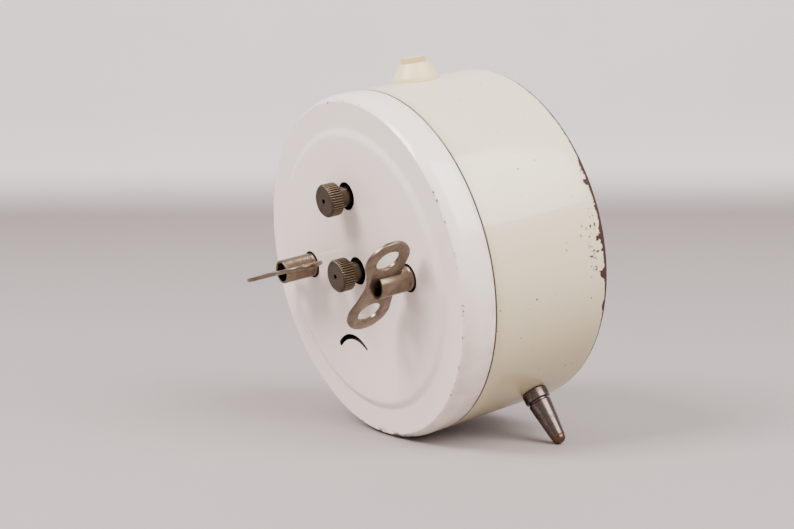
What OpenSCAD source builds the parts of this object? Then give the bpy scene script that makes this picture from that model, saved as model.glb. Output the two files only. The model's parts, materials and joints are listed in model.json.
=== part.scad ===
// Wind-up alarm clock: a steel drum case, a pressed back cover and a
// two-spring movement with an inner bell.
//
// Every piece is drawn in the clock's own frame: x to the right as seen from
// behind, y up the dial, z out of the back, with z = 0 at the seam between
// the case and its cover. stand() leans the finished clock back until it
// rests on its two feet and the cover's lower shoulder.

/* [Case] */
// Outside diameter of the case drum
case_d = 100; // [98:1:124]
// Length of the drum, from its front edge to the seam
case_len = 39.4; // [39:0.2:50]
// Thickness of the case and cover steel
sheet = 0.8; // [0.6:0.1:1]
// Outside radius of the drum's front edge
front_edge_r = 1.6; // [1.2:0.1:3]
// Diameter of the opening in front of the glass
front_opening_d = 88; // [80:1:90]

/* [Back cover] */
// Height of the cover's flat ring above the seam
cover_h = 9.8; // [9:0.1:12]
// Radius of the cover's shoulder
shoulder_r = 6; // [5.5:0.1:7]
// Width lost from the case radius to the flat ring's outer crease
crease_inset = 1.75; // [1.5:0.05:2.2]
// Diameter of the raised disc in the middle of the cover
disc_d = 80.8; // [78:0.2:86]
// Height of the raised disc above the flat ring
disc_rise = 1; // [0.6:0.1:1.5]
// Diameter of the four round holes for keys and knobs
cover_hole_d = 8.1; // [7.6:0.1:8.6]

/* [Stand] */
// Length of a foot, from the case to its tip
foot_len = 17; // [14:0.5:24]
// Angle of each foot from straight down
foot_angle = 35.4; // [30:0.2:42]
// Distance of the feet in front of the seam
foot_back = 23.5; // [20:0.5:30]
// Radius of a foot's rounded tip
foot_tip_r = 2; // [1.5:0.1:2.4]
// Diameter of a foot's collar
foot_collar_d = 7.5; // [7:0.1:9]

/* [Knobs, keys and button] */
// Diameter of the two knurled knobs
knob_d = 9.5; // [9:0.1:12]
// Height of the knobs' faces above the cover
knob_top = 7.5; // [7:0.1:10]
// Length of the knurled part
knob_len = 4.2; // [3.5:0.1:5]
// Number of knurl grooves round a knob
knurl_n = 36; // [24:1:48]
// Outside diameter of a key's barrel
key_barrel_d = 7; // [6.6:0.1:7.4]
// Height of the key barrel's open end above the cover
key_barrel_top = 10.5; // [9:0.1:14]
// Distance of a wing's lobe from the key's axis
key_wing_reach = 10.1; // [9:0.1:12]
// Radius of a wing's lobe
key_lobe_r = 6.7; // [6:0.1:7.2]
// Height of the lobes' centres above the cover
key_lobe_h = 9.7; // [9:0.1:14]
// Height of the plate's middle above the cover's disc
key_waist_h = 13.7; // [11:0.1:15]
// Diameter of the hole in each wing
key_hole_d = 6.8; // [5:0.1:8]
// Thickness of the key's wing plate
key_plate_t = 1.2; // [1:0.1:1.6]
// Angle at which the time key stands
time_key_angle = 48.7; // [0:0.1:180]
// Angle at which the alarm key stands
alarm_key_angle = 11.4; // [0:0.1:180]
// Diameter of the alarm stop button
button_d = 7.3; // [6:0.1:8]
// Height of the button above the case
button_top = 6.7; // [5.5:0.1:8]
// Travel of the button
button_travel = 1.8; // [1:0.1:2]
// Height of the button's collar above the case
collar_h = 4.9; // [4:0.1:6]
// Diameter of the collar at its foot
collar_foot_d = 13.8; // [12:0.1:16]
// Distance of the button in front of the seam
button_back = 18.2; // [16:0.1:20]

/* [Movement] */
// Distance of each winding arbor from the centre
winding_x = 25.5; // [25:0.1:26]
// Thickness of the movement's plates
plate_t = 1.2; // [1:0.1:1.6]
// Free play between a moving part and the part that carries it
play = 0.05; // [0.03:0.01:0.08]
// Coils in each mainspring, counted in half turns
spring_half_turns = 12; // [8:2:12]
// Angle the minute hand shows, clockwise from twelve
minute_angle = 60; // [0:1:359]
// Angle the hour hand shows, clockwise from twelve
hour_angle = 305; // [0:1:359]
// Angle the alarm hand shows, clockwise from twelve
alarm_angle = 210; // [0:1:359]

/* [Hidden] */
$fn = 64;
eps = 0.01;
seam = 0.2;                        // open line between case and cover
fit = 0.05;                        // clearance of a snap or slip fit
case_r = case_d / 2;
case_in = case_r - sheet;          // inside radius of the drum
disc_z = cover_h + disc_rise;      // outer face of the raised disc
disc_in = disc_z - sheet;          // inner face of the raised disc
shoulder_c = case_r - shoulder_r;  // radius of the shoulder's centre circle
crease_r = case_r - crease_inset;  // radius of the crease round the flat ring
shoulder_z = cover_h - sqrt(pow(shoulder_r, 2) - pow(crease_r - shoulder_c, 2));
step_w = 1.6;                      // width of the soft step round the disc

// Lean: the cover's shoulder and the feet's round tips touch one plane.
tip_y = -(case_r + foot_len - foot_tip_r) * cos(foot_angle);
rest_dy = tip_y + shoulder_c;
rest_dz = shoulder_z + foot_back;
lean = atan2(rest_dz, rest_dy) - acos((foot_tip_r - shoulder_r) / norm([rest_dy, rest_dz]));
stand_h = shoulder_r + cos(lean) * shoulder_c + sin(lean) * shoulder_z;

// Front to back extent of the leaning clock, which centres it on its origin.
front_y = -(case_r - front_edge_r) * sin(lean) - (case_len - front_edge_r) * cos(lean)
    - front_edge_r;
key_rise = sin(time_key_angle) * sin(lean);
back_y = key_wing_reach * key_rise + (disc_z + key_lobe_h) * cos(lean)
    + key_lobe_r * norm([key_rise, cos(lean)]);

// Levels through the clock, front to back.
glass_t = 1.4;
glass_z = -case_len + sheet + 0.1;
dial_t = 0.5;
dial_z = -case_len + 5.9;
front_plate_z = -case_len + 9.9;
zf = front_plate_z + plate_t;      // inner face of the front plate
zb = -7;                           // inner face of the back plate
zo = zb + plate_t;                 // outer face of the back plate
plate_r = case_in - 2.7;
pivot_len = plate_t + 0.4;         // a pivot reaches just past its plate

// Motion work: two reductions on one centre distance, 12 : 1 in all.
cannon_n = 12;
minute_n = 36;
minute_pinion_n = 10;
hour_n = 40;
motion_x = 13.5;
cannon_m = 2 * motion_x / (cannon_n + minute_n);
hour_m = 2 * motion_x / (minute_pinion_n + hour_n);
alarm_y = hour_m * hour_n;         // the alarm wheel turns with the hour wheel

// Going train.
great_n = 48;
centre_pinion_n = 12;
great_m = 2 * winding_x / (great_n + centre_pinion_n);
centre_n = 64;
third_n = 60;
fourth_n = 60;
pinion_n = 8;
centre_m = 0.5;
third_m = 0.4;
fourth_m = 0.36;
escape_n = 16;
escape_r = 6;

function polar(r, a) = [r * cos(a), r * sin(a)];
function gear_gap(m, n, k) = m * (n + k) / 2;
function bearing(p, q) = atan2(q[1] - p[1], q[0] - p[0]);

centre = [0, 0];
time_axis = [winding_x, 0];
alarm_axis = [-winding_x, 0];
alarm_set_axis = [0, alarm_y];
minute_axis = [0, -motion_x];
third_axis = polar(gear_gap(centre_m, centre_n, pinion_n), -96.4);
fourth_axis = third_axis + polar(gear_gap(third_m, third_n, pinion_n), -37.1);
escape_axis = fourth_axis + polar(gear_gap(fourth_m, fourth_n, pinion_n), -124.1);
pallet_gap = 1.25 * escape_r;
pallet_axis = escape_axis + polar(pallet_gap, -163.4);
balance_axis = [-8.7, -30.5];
stop_axis = [12, case_in - 11.2];
release_axis = [-17.5, alarm_y];

// Alarm train.
alarm_great_n = 40;
alarm_pinion_n = 8;
alarm_great_m = 0.8;
alarm_train_angle = 65;
alarm_escape_axis = alarm_axis
    + polar(gear_gap(alarm_great_m, alarm_great_n, alarm_pinion_n), alarm_train_angle);
hammer_axis = alarm_escape_axis + polar(pallet_gap, alarm_train_angle);

// Pallet pins stand just clear of the wheel's tips, a quarter tooth off a gap.
pin_r = 0.3;
pin_clear = 0.1;
pin_angle = 1.25 * 360 / escape_n;

// Levels of the wheels.
centre_wheel_z = zf + 1.7;
third_wheel_z = zf + 5.3;
fourth_wheel_z = zf + 8.8;
escape_wheel_z = zf + 11.6;
fork_z = zf + 12.8;
balance_wheel_z = zb - 5.4;
hairspring_z = zb - 2.6;
great_z = zb - 2.8;
great_t = 1.2;
click_z = great_z - 1.3;
click_t = 1.2;
spring_z = zf + 3.3;
spring_h = zb - 5 - spring_z;
alarm_escape_z = zf + 8.3;
stop_z = -button_back;
wheel_t = 0.7;
pinion_t = 2.4;

// Winding arbors, springs and clicks.
arbor_r = 2.2;
key_stud_r = 1.9;
core_r = 3;
strip_t = 0.45;
time_spring_r = 16.6;
alarm_spring_r = 12.3;
ratchet_n = 20;
ratchet_r = 6;
click_reach = 10.5;
set_arbor_r = 1.25;
set_neck_r = 2.85;

pillars_xy = [[19, 37], [-19, 37], [24, -27], [-26, -31]];
pillar_r = 2;
screw_angles = [60, 180 + 20, 360 - 20];
screw_r = 0.9;
lug_w = 8;
lug_t = 1.6;
lug_reach = 6;
screw_at = plate_r - 1.9;

// Bell between the back plate and the cover.
bell_r = 38.8;
bell_t = 0.8;
bell_z = zo + 6.4;
bell_rim = 4.6;
bell_posts_xy = [[20, 25], [-28, -20]];
slot_r = 10.1;
slot_w = 1.4;
slot_end = 0.15;
slot_from = 45;
slot_to = 136;
regulator_angle = 92;
regulator_swing = 36;

// ---- Shared shapes ----

// Leans the clock back onto its feet and puts its origin under its middle.
module stand() {
    translate([0, -(front_y + back_y) / 2, stand_h])
        rotate([-(90 + lean), 0, 0])
            rotate([0, 0, 180])
                children();
}

module at(p, z = 0) {
    translate([p[0], p[1], z]) children();
}

module rod(r, z0, z1) {
    translate([0, 0, z0]) cylinder(r = r, h = z1 - z0);
}

module tube(r, bore, z0, z1) {
    difference() {
        rod(r, z0, z1);
        rod(bore, z0 - 1, z1 + 1);
    }
}

// Points a radius out from the axis, so that +y of the child is outwards.
module spoke(angle) {
    rotate([0, 0, angle - 90]) children();
}

// Tooth outline: half widths at root, pitch and tip are shares of one pitch.
function tooth(n, m, i, turn, half, depth) = [
    for (k = [0:5])
        let (s = k < 3 ? -1 : 1, j = k < 3 ? k : 5 - k)
            polar(n * m / 2 + depth[j] * m, turn + (i + s * half[j]) * 360 / n)
];
wheel_half = [0.25, 0.19, 0.07];
wheel_depth = [-1.2, 0, 0.8];
pinion_half = [0.17, 0.17, 0.07];
pinion_depth = [-1.15, 0, 0.7];

// A toothed disc with one tooth centred on the angle turn.
module teeth(n, m, t, turn, pinion = false) {
    half = pinion ? pinion_half : wheel_half;
    depth = pinion ? pinion_depth : wheel_depth;
    linear_extrude(t)
        polygon([for (i = [0:n - 1]) each tooth(n, m, i, turn, half, depth)]);
}

// A crossed-out wheel with its bore and round windows.
module wheel(n, m, t, turn, bore, windows = 5, window_at = 0.56, window_r = 0.2,
    window_turn = 0) {
    r = n * m / 2;
    difference() {
        teeth(n, m, t, turn);
        rod(bore, -1, t + 1);
        for (i = [1:windows])
            rotate([0, 0, window_turn + i * 360 / windows]) translate([r * window_at, 0, 0])
                rod(r * window_r, -1, t + 1);
    }
}

// A pinion cut on its own arbor, with two thin pivots in the plates.
module pinion_arbor(n, m, t, z, turn, r, pivot_r) {
    translate([0, 0, z]) teeth(n, m, t, turn, true);
    rod(r, zf + 0.2, zb - 0.2);
    rod(pivot_r, zf - pivot_len, zb + pivot_len);
}

// Spiral of half rings whose centres alternate. It starts and ends on +x, at
// inside radius r0 and outside radius r1.
module spiral(r0, r1, t, h, half_turns) {
    pitch = (r1 - t - r0) / half_turns * 2;
    for (i = [0:half_turns - 1])
        translate([i % 2 == 1 ? pitch / 2 : 0, 0, 0]) rotate([0, 0, 180 * i])
            rotate_extrude(angle = 180)
                translate([r0 + i * pitch / 2, 0]) square([t, h]);
}

// ---- Case ----

module case_profile() {
    translate([case_in, -case_len + front_edge_r]) square([sheet, case_len - front_edge_r]);
    translate([front_opening_d / 2, -case_len])
        square([case_r - front_edge_r - front_opening_d / 2, sheet]);
    intersection() {
        difference() {
            translate([case_r - front_edge_r, -case_len + front_edge_r])
                circle(front_edge_r, $fn = 32);
            translate([case_r - front_edge_r, -case_len + front_edge_r])
                circle(front_edge_r - sheet, $fn = 32);
        }
        translate([case_r - front_edge_r, -case_len]) square(front_edge_r);
    }
}

module case() {
    color([0.89, 0.87, 0.82]) difference() {
        union() {
            rotate_extrude($fn = 128) case_profile();
            for (a = screw_angles) spoke(a)
                intersection() {
                    translate([-lug_w / 2, case_in - 1 - lug_reach, front_plate_z - lug_t])
                        cube([lug_w, lug_reach + 2, lug_t]);
                    rod(case_r - sheet / 2, -case_len, 0);
                }
        }
        for (s = [-1, 1]) translate([0, 0, -foot_back])
            rotate([0, 0, s * foot_angle]) rotate([90, 0, 0])
                rod(foot_stud_r + play, case_in - 5, case_r + 5);
        translate([0, 0, -button_back]) rotate([-90, 0, 0])
            rod(collar_neck_r + fit, case_in - 5, case_r + 5);
        for (a = screw_angles) spoke(a) translate([0, screw_at, 0])
            rod(screw_r, front_plate_z - lug_t - 1, front_plate_z + 1);
    }
}

module cover_profile() {
    translate([case_in, seam]) square([sheet, shoulder_z - seam]);
    intersection() {
        difference() {
            translate([shoulder_c, shoulder_z]) circle(shoulder_r);
            translate([shoulder_c, shoulder_z]) circle(shoulder_r - sheet);
        }
        translate([crease_r, shoulder_z]) square([shoulder_r, shoulder_r]);
    }
    intersection() {
        translate([shoulder_c, shoulder_z]) circle(shoulder_r);
        polygon([[0, disc_in], [disc_d / 2 - step_w, disc_in], [disc_d / 2, cover_h - sheet],
            [crease_r + sheet, cover_h - sheet], [crease_r + sheet, cover_h + 1],
            [crease_r - 1, cover_h + 1], [0, cover_h + 1]]);
        translate([crease_r - 1, cover_h - sheet]) square([1 + sheet, sheet]);
    }
    polygon([[0, disc_in], [disc_d / 2 - step_w, disc_in], [disc_d / 2, cover_h - sheet],
        [crease_r, cover_h - sheet], [crease_r, cover_h], [disc_d / 2 + 0.3, cover_h],
        [disc_d / 2 + 0.3 - step_w, disc_z], [0, disc_z]]);
    translate([case_in - sheet - fit, -5]) square([sheet, 5 + seam + sheet]);
    translate([case_in - sheet - fit, seam]) square([2 * sheet + fit, sheet]);
}

module slot_outline(w, a0, a1) {
    steps = 12;
    inner = [for (i = [0:steps]) polar(slot_r - w / 2, a0 + (a1 - a0) * i / steps)];
    difference() {
        circle(slot_r + w / 2);
        circle(slot_r - w / 2);
        polygon([[0, 0], polar(40, a1), polar(40, (a1 + a0) / 2 + 180), polar(40, a0)]);
    }
    for (a = [a0, a1]) translate(polar(slot_r, a)) circle(w / 2 - slot_end, $fn = 24);
}

module back_cover() {
    color([0.86, 0.84, 0.82]) difference() {
        rotate_extrude($fn = 128) cover_profile();
        for (p = [centre, alarm_set_axis, time_axis, alarm_axis]) at(p)
            rod(cover_hole_d / 2, cover_h - 3, disc_z + 1);
        at(balance_axis, cover_h - 3) linear_extrude(6)
            slot_outline(slot_w, slot_from, slot_to);
    }
}

// ---- Front ----

module glass() {
    color([0.8, 0.88, 0.9, 0.3]) translate([0, 0, glass_z])
        cylinder(r = case_in - 0.5, h = glass_t, $fn = 128);
}

module reflector_ring() {
    z0 = glass_z + glass_t;
    r0 = front_opening_d / 2;
    color([0.75, 0.72, 0.66]) rotate_extrude($fn = 128)
        polygon([[case_in - 1, z0], [r0, z0], [r0 - 1.5, dial_z], [case_in - 2.5, dial_z],
            [case_in - 2.5, dial_z - 0.6], [r0 - 0.8, dial_z - 0.6], [r0 + 0.5, z0 + 0.6],
            [case_in - 1, z0 + 0.6]]);
}

module dial() {
    color([0.93, 0.91, 0.85]) difference() {
        translate([0, 0, dial_z]) cylinder(r = case_in - 1.5, h = dial_t, $fn = 128);
        rod(2.4, dial_z - 1, dial_z + 1);
        at(alarm_set_axis) rod(1.3, dial_z - 1, dial_z + 1);
    }
    color([0.7, 0.6, 0.35]) for (a = [0, 180]) at(polar(36, a))
        rod(0.8, dial_z + dial_t, zf + 0.3);
}

hour_z = dial_z - 1.5;
minute_z = dial_z - 2.4;
alarm_hand_z = dial_z - 0.7;

// A stick hand on its hub, pointing clockwise from twelve as seen in front.
module hand(angle, len, w, hub_r, bore, tail, z, t) {
    rotate([0, 0, angle]) difference() {
        union() {
            rod(hub_r, z, z + t);
            translate([0, 0, z]) linear_extrude(t)
                polygon([[-w / 2, -tail], [w / 2, -tail], [w / 2, len - 1.5 * w], [0, len],
                    [-w / 2, len - 1.5 * w]]);
        }
        rod(bore, z - 1, z + t + 1);
    }
}

hand_t = 0.4;
hour_pipe_r = 2.1;
cannon_r = 1.5;
arbor_tip_r = 0.9;

module hour_hand() {
    color([0.1, 0.1, 0.1]) hand(hour_angle, 21, 2.6, 3.2, hour_pipe_r, 5, hour_z, hand_t);
}

module minute_hand() {
    color([0.1, 0.1, 0.1]) hand(minute_angle, 33, 2, 2.6, cannon_r, 7, minute_z, hand_t);
}

module alarm_hand() {
    color([0.1, 0.1, 0.1]) at(alarm_set_axis)
        hand(alarm_angle, 8, 1, 1.6, arbor_tip_r, 2, alarm_hand_z, hand_t);
}

// ---- Feet ----

foot_stud_r = 1.5;
foot_collar_len = 3;
foot_waist_r = 2.9;
nut_t = 2.2;
nut_r = 3.2;

module feet() {
    body_len = foot_len - foot_tip_r;
    color([0.36, 0.31, 0.28]) for (s = [-1, 1]) translate([0, 0, -foot_back])
        rotate([0, 0, s * foot_angle]) rotate([90, 0, 0]) translate([0, 0, case_r]) {
            cylinder(d = foot_collar_d, h = foot_collar_len);
            cylinder(r = foot_waist_r - 0.3, h = foot_collar_len + 1);
            translate([0, 0, foot_collar_len + 0.6])
                cylinder(r1 = foot_waist_r, r2 = foot_tip_r, h = body_len - foot_collar_len - 0.6);
            translate([0, 0, body_len]) sphere(foot_tip_r);
            rod(foot_stud_r, -sheet - nut_t - 1, 0.5);
        }
}

module foot_nuts() {
    color([0.7, 0.66, 0.5]) for (s = [-1, 1]) translate([0, 0, -foot_back])
        rotate([0, 0, s * foot_angle]) rotate([90, 0, 0])
            translate([0, 0, case_in - 0.2 - nut_t]) difference() {
                cylinder(r = nut_r, h = nut_t, $fn = 6);
                rod(foot_stud_r, -1, nut_t + 1);
            }
}

// ---- Alarm stop button ----

collar_neck_r = 4.6;
collar_floor = 2.4;
stem_r = 1.2;
stem_end = 9;
clip_r = 1.9;
cap_bottom = button_top - 5.6;

module button_frame() {
    translate([0, 0, -button_back]) rotate([-90, 0, 0]) translate([0, 0, case_r]) children();
}

module button_collar() {
    color([0.91, 0.88, 0.8]) difference() {
        button_frame() difference() {
            union() {
                translate([0, 0, -1])
                    cylinder(d = collar_foot_d, h = 1.7);
                translate([0, 0, 0.7])
                    cylinder(d1 = collar_foot_d - 1.4, d2 = button_d + 1.3, h = collar_h - 0.7);
            }
            rod(button_d / 2 + play, -4, collar_h + 1);
        }
        rod(case_r, -case_len, 0);
    }
    color([0.91, 0.88, 0.8]) button_frame() difference() {
        rod(collar_neck_r, -collar_floor - 1, 1);
        rod(button_d / 2 + play, -collar_floor, 2);
        rod(stem_r + play, -10, 2);
    }
}

module alarm_button() {
    color([0.85, 0.8, 0.68]) button_frame() {
        rod(button_d / 2, cap_bottom, button_top - 0.5);
        translate([0, 0, button_top - 0.5])
            cylinder(d1 = button_d, d2 = button_d - 1, h = 0.5);
        rod(stem_r, -stem_end, cap_bottom + 1);
        rod(clip_r, -collar_floor - 2.2, -collar_floor - 1.1);
    }
}

// Round wire swept along a helix, closed at both ends.
module coil(r, wire, z0, z1, turns, sides = 6, steps = 16) {
    rings = turns * steps;
    pts = [for (i = [0:rings], k = [0:sides - 1])
        let (a = i * 360 / steps, b = k * 360 / sides, q = r + wire * cos(b))
            [q * cos(a), q * sin(a), z0 + (z1 - z0) * i / rings + wire * sin(b)]];
    walls = [for (i = [0:rings - 1], k = [0:sides - 1])
        let (n = (k + 1) % sides)
            [i * sides + k, (i + 1) * sides + k, (i + 1) * sides + n, i * sides + n]];
    ends = [[for (k = [0:sides - 1]) k], [for (k = [sides - 1:-1:0]) rings * sides + k]];
    polyhedron(pts, concat(walls, ends), convexity = 4);
}

module button_spring() {
    wire = 0.25;
    color([0.6, 0.6, 0.62]) button_frame()
        coil(2.2, wire, -collar_floor + wire + 0.02, cap_bottom - wire - 0.02, 3);
}

// ---- Knobs and keys ----

// Straight knurl: a toothed outline between two plain chamfers.
module knob(arbor) {
    z0 = disc_z + knob_top - knob_len;
    edge = 0.5;
    depth = 0.32;
    r = knob_d / 2;
    difference() {
        union() {
            translate([0, 0, z0]) cylinder(r1 = r - depth - edge, r2 = r - depth, h = edge);
            translate([0, 0, z0 + edge]) linear_extrude(knob_len - 2 * edge)
                polygon([for (i = [0:4 * knurl_n - 1])
                    polar(i % 4 < 2 ? r : r - depth, (i + 0.5) * 90 / knurl_n)]);
            translate([0, 0, z0 + knob_len - edge])
                cylinder(r1 = r - depth, r2 = r - depth - edge, h = edge);
            rod(set_neck_r, disc_z - 5, z0 + 0.5);
        }
        rod(arbor, disc_z - 6, disc_z + knob_top - 1.4);
        rod(0.6, disc_z, disc_z + knob_top + 1);
    }
}

module alarm_set_knob() {
    color([0.45, 0.4, 0.35]) at(alarm_set_axis) knob(set_arbor_r);
}

module time_set_knob() {
    color([0.45, 0.4, 0.35]) knob(set_arbor_r);
}

// A barrel with a slotted open end that holds a butterfly wing plate.
module key(angle) {
    top = disc_z + key_barrel_top;
    lobe_z = disc_z + key_lobe_h;
    rotate([0, 0, angle]) {
        difference() {
            rod(key_barrel_d / 2, disc_z - 4.5, top);
            rod(key_stud_r, disc_z - 6, top + 1);
            rod(key_barrel_d / 2 - 0.8, disc_z + 2, top + 1);
        }
        translate([0, key_plate_t / 2, 0]) rotate([90, 0, 0]) linear_extrude(key_plate_t)
            key_plate(lobe_z);
    }
}

// The wings' outline, drawn with the height above the seam upwards.
module key_plate(lobe_z) {
    low = lobe_z - key_lobe_r + 0.4;
    high = lobe_z + key_lobe_r - 0.3;
    slot_low = disc_z + 2.8;
    shoulder = key_wing_reach * 0.85;
    difference() {
        union() {
            for (s = [-1, 1]) translate([s * key_wing_reach, lobe_z]) circle(key_lobe_r);
            polygon([[-key_wing_reach, low], [-key_barrel_d / 2, slot_low],
                [key_barrel_d / 2, slot_low], [key_wing_reach, low], [shoulder, high],
                [0, disc_z + key_waist_h], [-shoulder, high]]);
        }
        for (s = [-1, 1]) translate([s * key_wing_reach, lobe_z]) circle(key_hole_d / 2);
    }
}

module time_key() {
    color([0.59, 0.53, 0.47]) at(time_axis) key(time_key_angle);
}

module alarm_key() {
    color([0.59, 0.53, 0.47]) at(alarm_axis) key(alarm_key_angle);
}

// ---- Plates ----

// Where each pivot runs in both plates, and its radius there.
front_pivots = [[centre, set_arbor_r], [alarm_set_axis, set_arbor_r], [time_axis, 1.2],
    [alarm_axis, 1.2], [third_axis, 0.5], [fourth_axis, 0.5], [escape_axis, 0.5],
    [pallet_axis, 0.5], [alarm_escape_axis, 0.5], [hammer_axis, 0.8], [stop_axis, 0.8]];
back_pivots = [[centre, set_arbor_r], [alarm_set_axis, set_arbor_r],
    [time_axis, key_stud_r], [alarm_axis, key_stud_r], [third_axis, 0.5], [fourth_axis, 0.5],
    [escape_axis, 0.5], [pallet_axis, 0.5], [alarm_escape_axis, 0.5], [hammer_axis, 0.8],
    [stop_axis, 0.8]];
bearing_r = 1.6;

module plate_blank(z, pivots) {
    difference() {
        translate([0, 0, z]) cylinder(r = plate_r, h = plate_t, $fn = 128);
        for (p = pivots) at(p[0]) rod(p[1] + play, z - 1, z + plate_t + 1);
        for (p = pillars_xy) at(p) rod(1, z - 1, z + plate_t + 1);
        at(balance_axis) rod(bearing_r, z - 1, z + plate_t + 1);
    }
}

module front_plate() {
    color([0.72, 0.6, 0.35]) difference() {
        plate_blank(front_plate_z, front_pivots);
        for (a = screw_angles) spoke(a) translate([0, screw_at, 0])
            rod(screw_r, front_plate_z - 1, zf + 1);
        for (a = [0, 180]) at(polar(36, a)) rod(0.8, front_plate_z - 1, zf + 1);
        at(minute_axis) rod(1, front_plate_z - 1, zf + 1);
        at(release_axis) rod(1.6, front_plate_z - 1, zf + 1);
    }
}

module back_plate() {
    color([0.72, 0.6, 0.35]) difference() {
        plate_blank(zb, back_pivots);
        for (p = bell_posts_xy) at(p) rod(1, zb - 1, zo + 1);
    }
}

module pillars() {
    color([0.78, 0.68, 0.42]) for (p = pillars_xy) at(p) {
        rod(pillar_r, zf, zb);
        rod(1, front_plate_z - 0.4, zo + 2.2);
    }
}

module pillar_nuts() {
    color([0.7, 0.66, 0.5]) {
        for (p = pillars_xy) at(p) nut(zo, zo + 1.6);
        for (p = bell_posts_xy) at(p) nut(bell_z + bell_t, bell_z + bell_t + 1.2);
    }
}

// Riveted through the back plate, with a threaded end for the bell's nut.
module bell_posts() {
    color([0.78, 0.68, 0.42]) for (p = bell_posts_xy) at(p) {
        rod(1, zb - 0.3, bell_z + bell_t + 1.4);
        rod(pillar_r, zo, bell_z);
    }
}

module nut(z0, z1) {
    difference() {
        translate([0, 0, z0]) cylinder(r = 2.3, h = z1 - z0, $fn = 6);
        rod(1, z0 - 1, z1 + 1);
    }
}

module movement_screws() {
    color([0.6, 0.6, 0.62]) for (a = screw_angles) spoke(a) translate([0, screw_at, 0]) {
        rod(screw_r, front_plate_z - lug_t, zf);
        difference() {
            rod(1.5, zf, zf + 1.1);
            translate([-2, -0.2, zf + 0.7]) cube([4, 0.4, 1]);
        }
    }
}

// ---- Winding work, one set for each spring ----

module winding_arbor() {
    color([0.6, 0.6, 0.62]) {
        rod(1.2, zf - pivot_len, zf + 1);
        rod(arbor_r, zf + 0.2, zb - 0.2);
        rod(core_r, spring_z + 0.2, spring_z + spring_h - 0.2);
        rod(key_stud_r, zb - 1, disc_z + 2);
    }
}

module ratchet_wheel() {
    color([0.6, 0.6, 0.62]) translate([0, 0, click_z]) difference() {
        linear_extrude(click_t)
            polygon([for (i = [0:ratchet_n - 1], k = [0, 1])
                polar(k == 0 ? ratchet_r : ratchet_r - 0.9, (i + k * 0.12) * 360 / ratchet_n)]);
        rod(arbor_r, -1, click_t + 1);
    }
}

module great_wheel(n, m, turn) {
    color([0.78, 0.68, 0.42]) {
        translate([0, 0, great_z])
            wheel(n, m, great_t, turn, arbor_r + play, 4, 0.66, 0.15, 50);
        at(polar(click_reach, 0)) rod(0.8, great_z - 1.5, great_z + 0.2);
        at(polar(click_reach, 100)) rod(0.8, great_z - 1.5, great_z + 0.2);
    }
}

// The click hangs just over the ratchet's tips and drops between them.
click_nose = [ratchet_r + 0.15, 32];
click_tip = polar(click_nose[0], click_nose[1]);

module click() {
    color([0.6, 0.6, 0.62]) translate([0, 0, click_z]) difference() {
        linear_extrude(click_t) union() {
            translate(polar(click_reach, 0)) circle(1.9);
            polygon([polar(click_reach - 1.4, -2), polar(click_reach + 1.4, 3),
                polar(click_nose[0] + 1.4, click_nose[1] + 3), click_tip,
                polar(click_nose[0] + 0.3, click_nose[1] - 12)]);
        }
        at(polar(click_reach, 0)) rod(0.8 + play, -1, click_t + 1);
    }
}

// A leaf of spring steel riveted to the wheel behind the click.
module click_spring() {
    color([0.5, 0.52, 0.58]) translate([0, 0, click_z]) difference() {
        linear_extrude(click_t) union() {
            translate(polar(click_reach, 100)) circle(1.35);
            difference() {
                circle(click_reach + 1.5);
                circle(click_reach + 1.1);
                polygon([[0, 0], polar(60, 100), polar(60, 180), polar(60, 270), polar(60, 38)]);
            }
        }
        at(polar(click_reach, 100)) rod(0.8, -1, click_t + 1);
    }
}

// The outer end leaves the coil along a tangent and loops round a pillar.
module mainspring(axis, r, pillar, side) {
    loop_r = pillar_r + 0.4;
    gap = norm(pillar - axis);
    swing = acos((r - strip_t / 2 - loop_r) / gap);
    run = sqrt(pow(gap, 2) - pow(r - strip_t / 2 - loop_r, 2));
    turn = bearing(axis, pillar);
    color([0.4, 0.42, 0.5]) translate([0, 0, spring_z]) {
        at(axis) rotate([0, 0, turn]) mirror([0, side > 0 ? 1 : 0, 0])
            rotate([0, 0, -swing]) {
                spiral(core_r + 0.15, r, strip_t, spring_h, spring_half_turns);
                translate([r - strip_t, -eps, 0]) cube([strip_t, run, spring_h]);
            }
        at(pillar) tube(loop_r + strip_t / 2, pillar_r + play, 0, spring_h);
    }
}

time_great_turn = bearing(time_axis, centre);
alarm_great_turn = bearing(alarm_axis, alarm_escape_axis);

module time_winding_arbor() { at(time_axis) winding_arbor(); }
module time_ratchet_wheel() { at(time_axis) ratchet_wheel(); }
module time_great_wheel() { at(time_axis) great_wheel(great_n, great_m, time_great_turn); }
module time_click() { at(time_axis) click(); }
module time_click_spring() { at(time_axis) click_spring(); }
module time_mainspring() { mainspring(time_axis, time_spring_r, pillars_xy[2], 1); }
module alarm_winding_arbor() { at(alarm_axis) winding_arbor(); }
module alarm_ratchet_wheel() { at(alarm_axis) ratchet_wheel(); }
module alarm_great_wheel() {
    at(alarm_axis) great_wheel(alarm_great_n, alarm_great_m, alarm_great_turn);
}
module alarm_click() { at(alarm_axis) click(); }
module alarm_click_spring() { at(alarm_axis) click_spring(); }
module alarm_mainspring() { mainspring(alarm_axis, alarm_spring_r, pillars_xy[3], -1); }

// ---- Going train ----

pipe_r = 2.2;

module centre_arbor() {
    color([0.6, 0.6, 0.62]) {
        rod(arbor_tip_r, minute_z - 0.4, zf);
        rod(set_arbor_r, zf - plate_t - 0.3, disc_z + knob_top - 1.4);
    }
}

module centre_pinion() {
    gap = 180 / centre_pinion_n;
    color([0.6, 0.6, 0.62]) difference() {
        union() {
            rod(pipe_r, zf + 0.3, zb - 0.3);
            translate([0, 0, great_z - 0.6])
                teeth(centre_pinion_n, great_m, pinion_t, bearing(centre, time_axis) + gap, true);
        }
        rod(set_arbor_r + play, zf - 1, zb + 1);
    }
}

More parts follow.
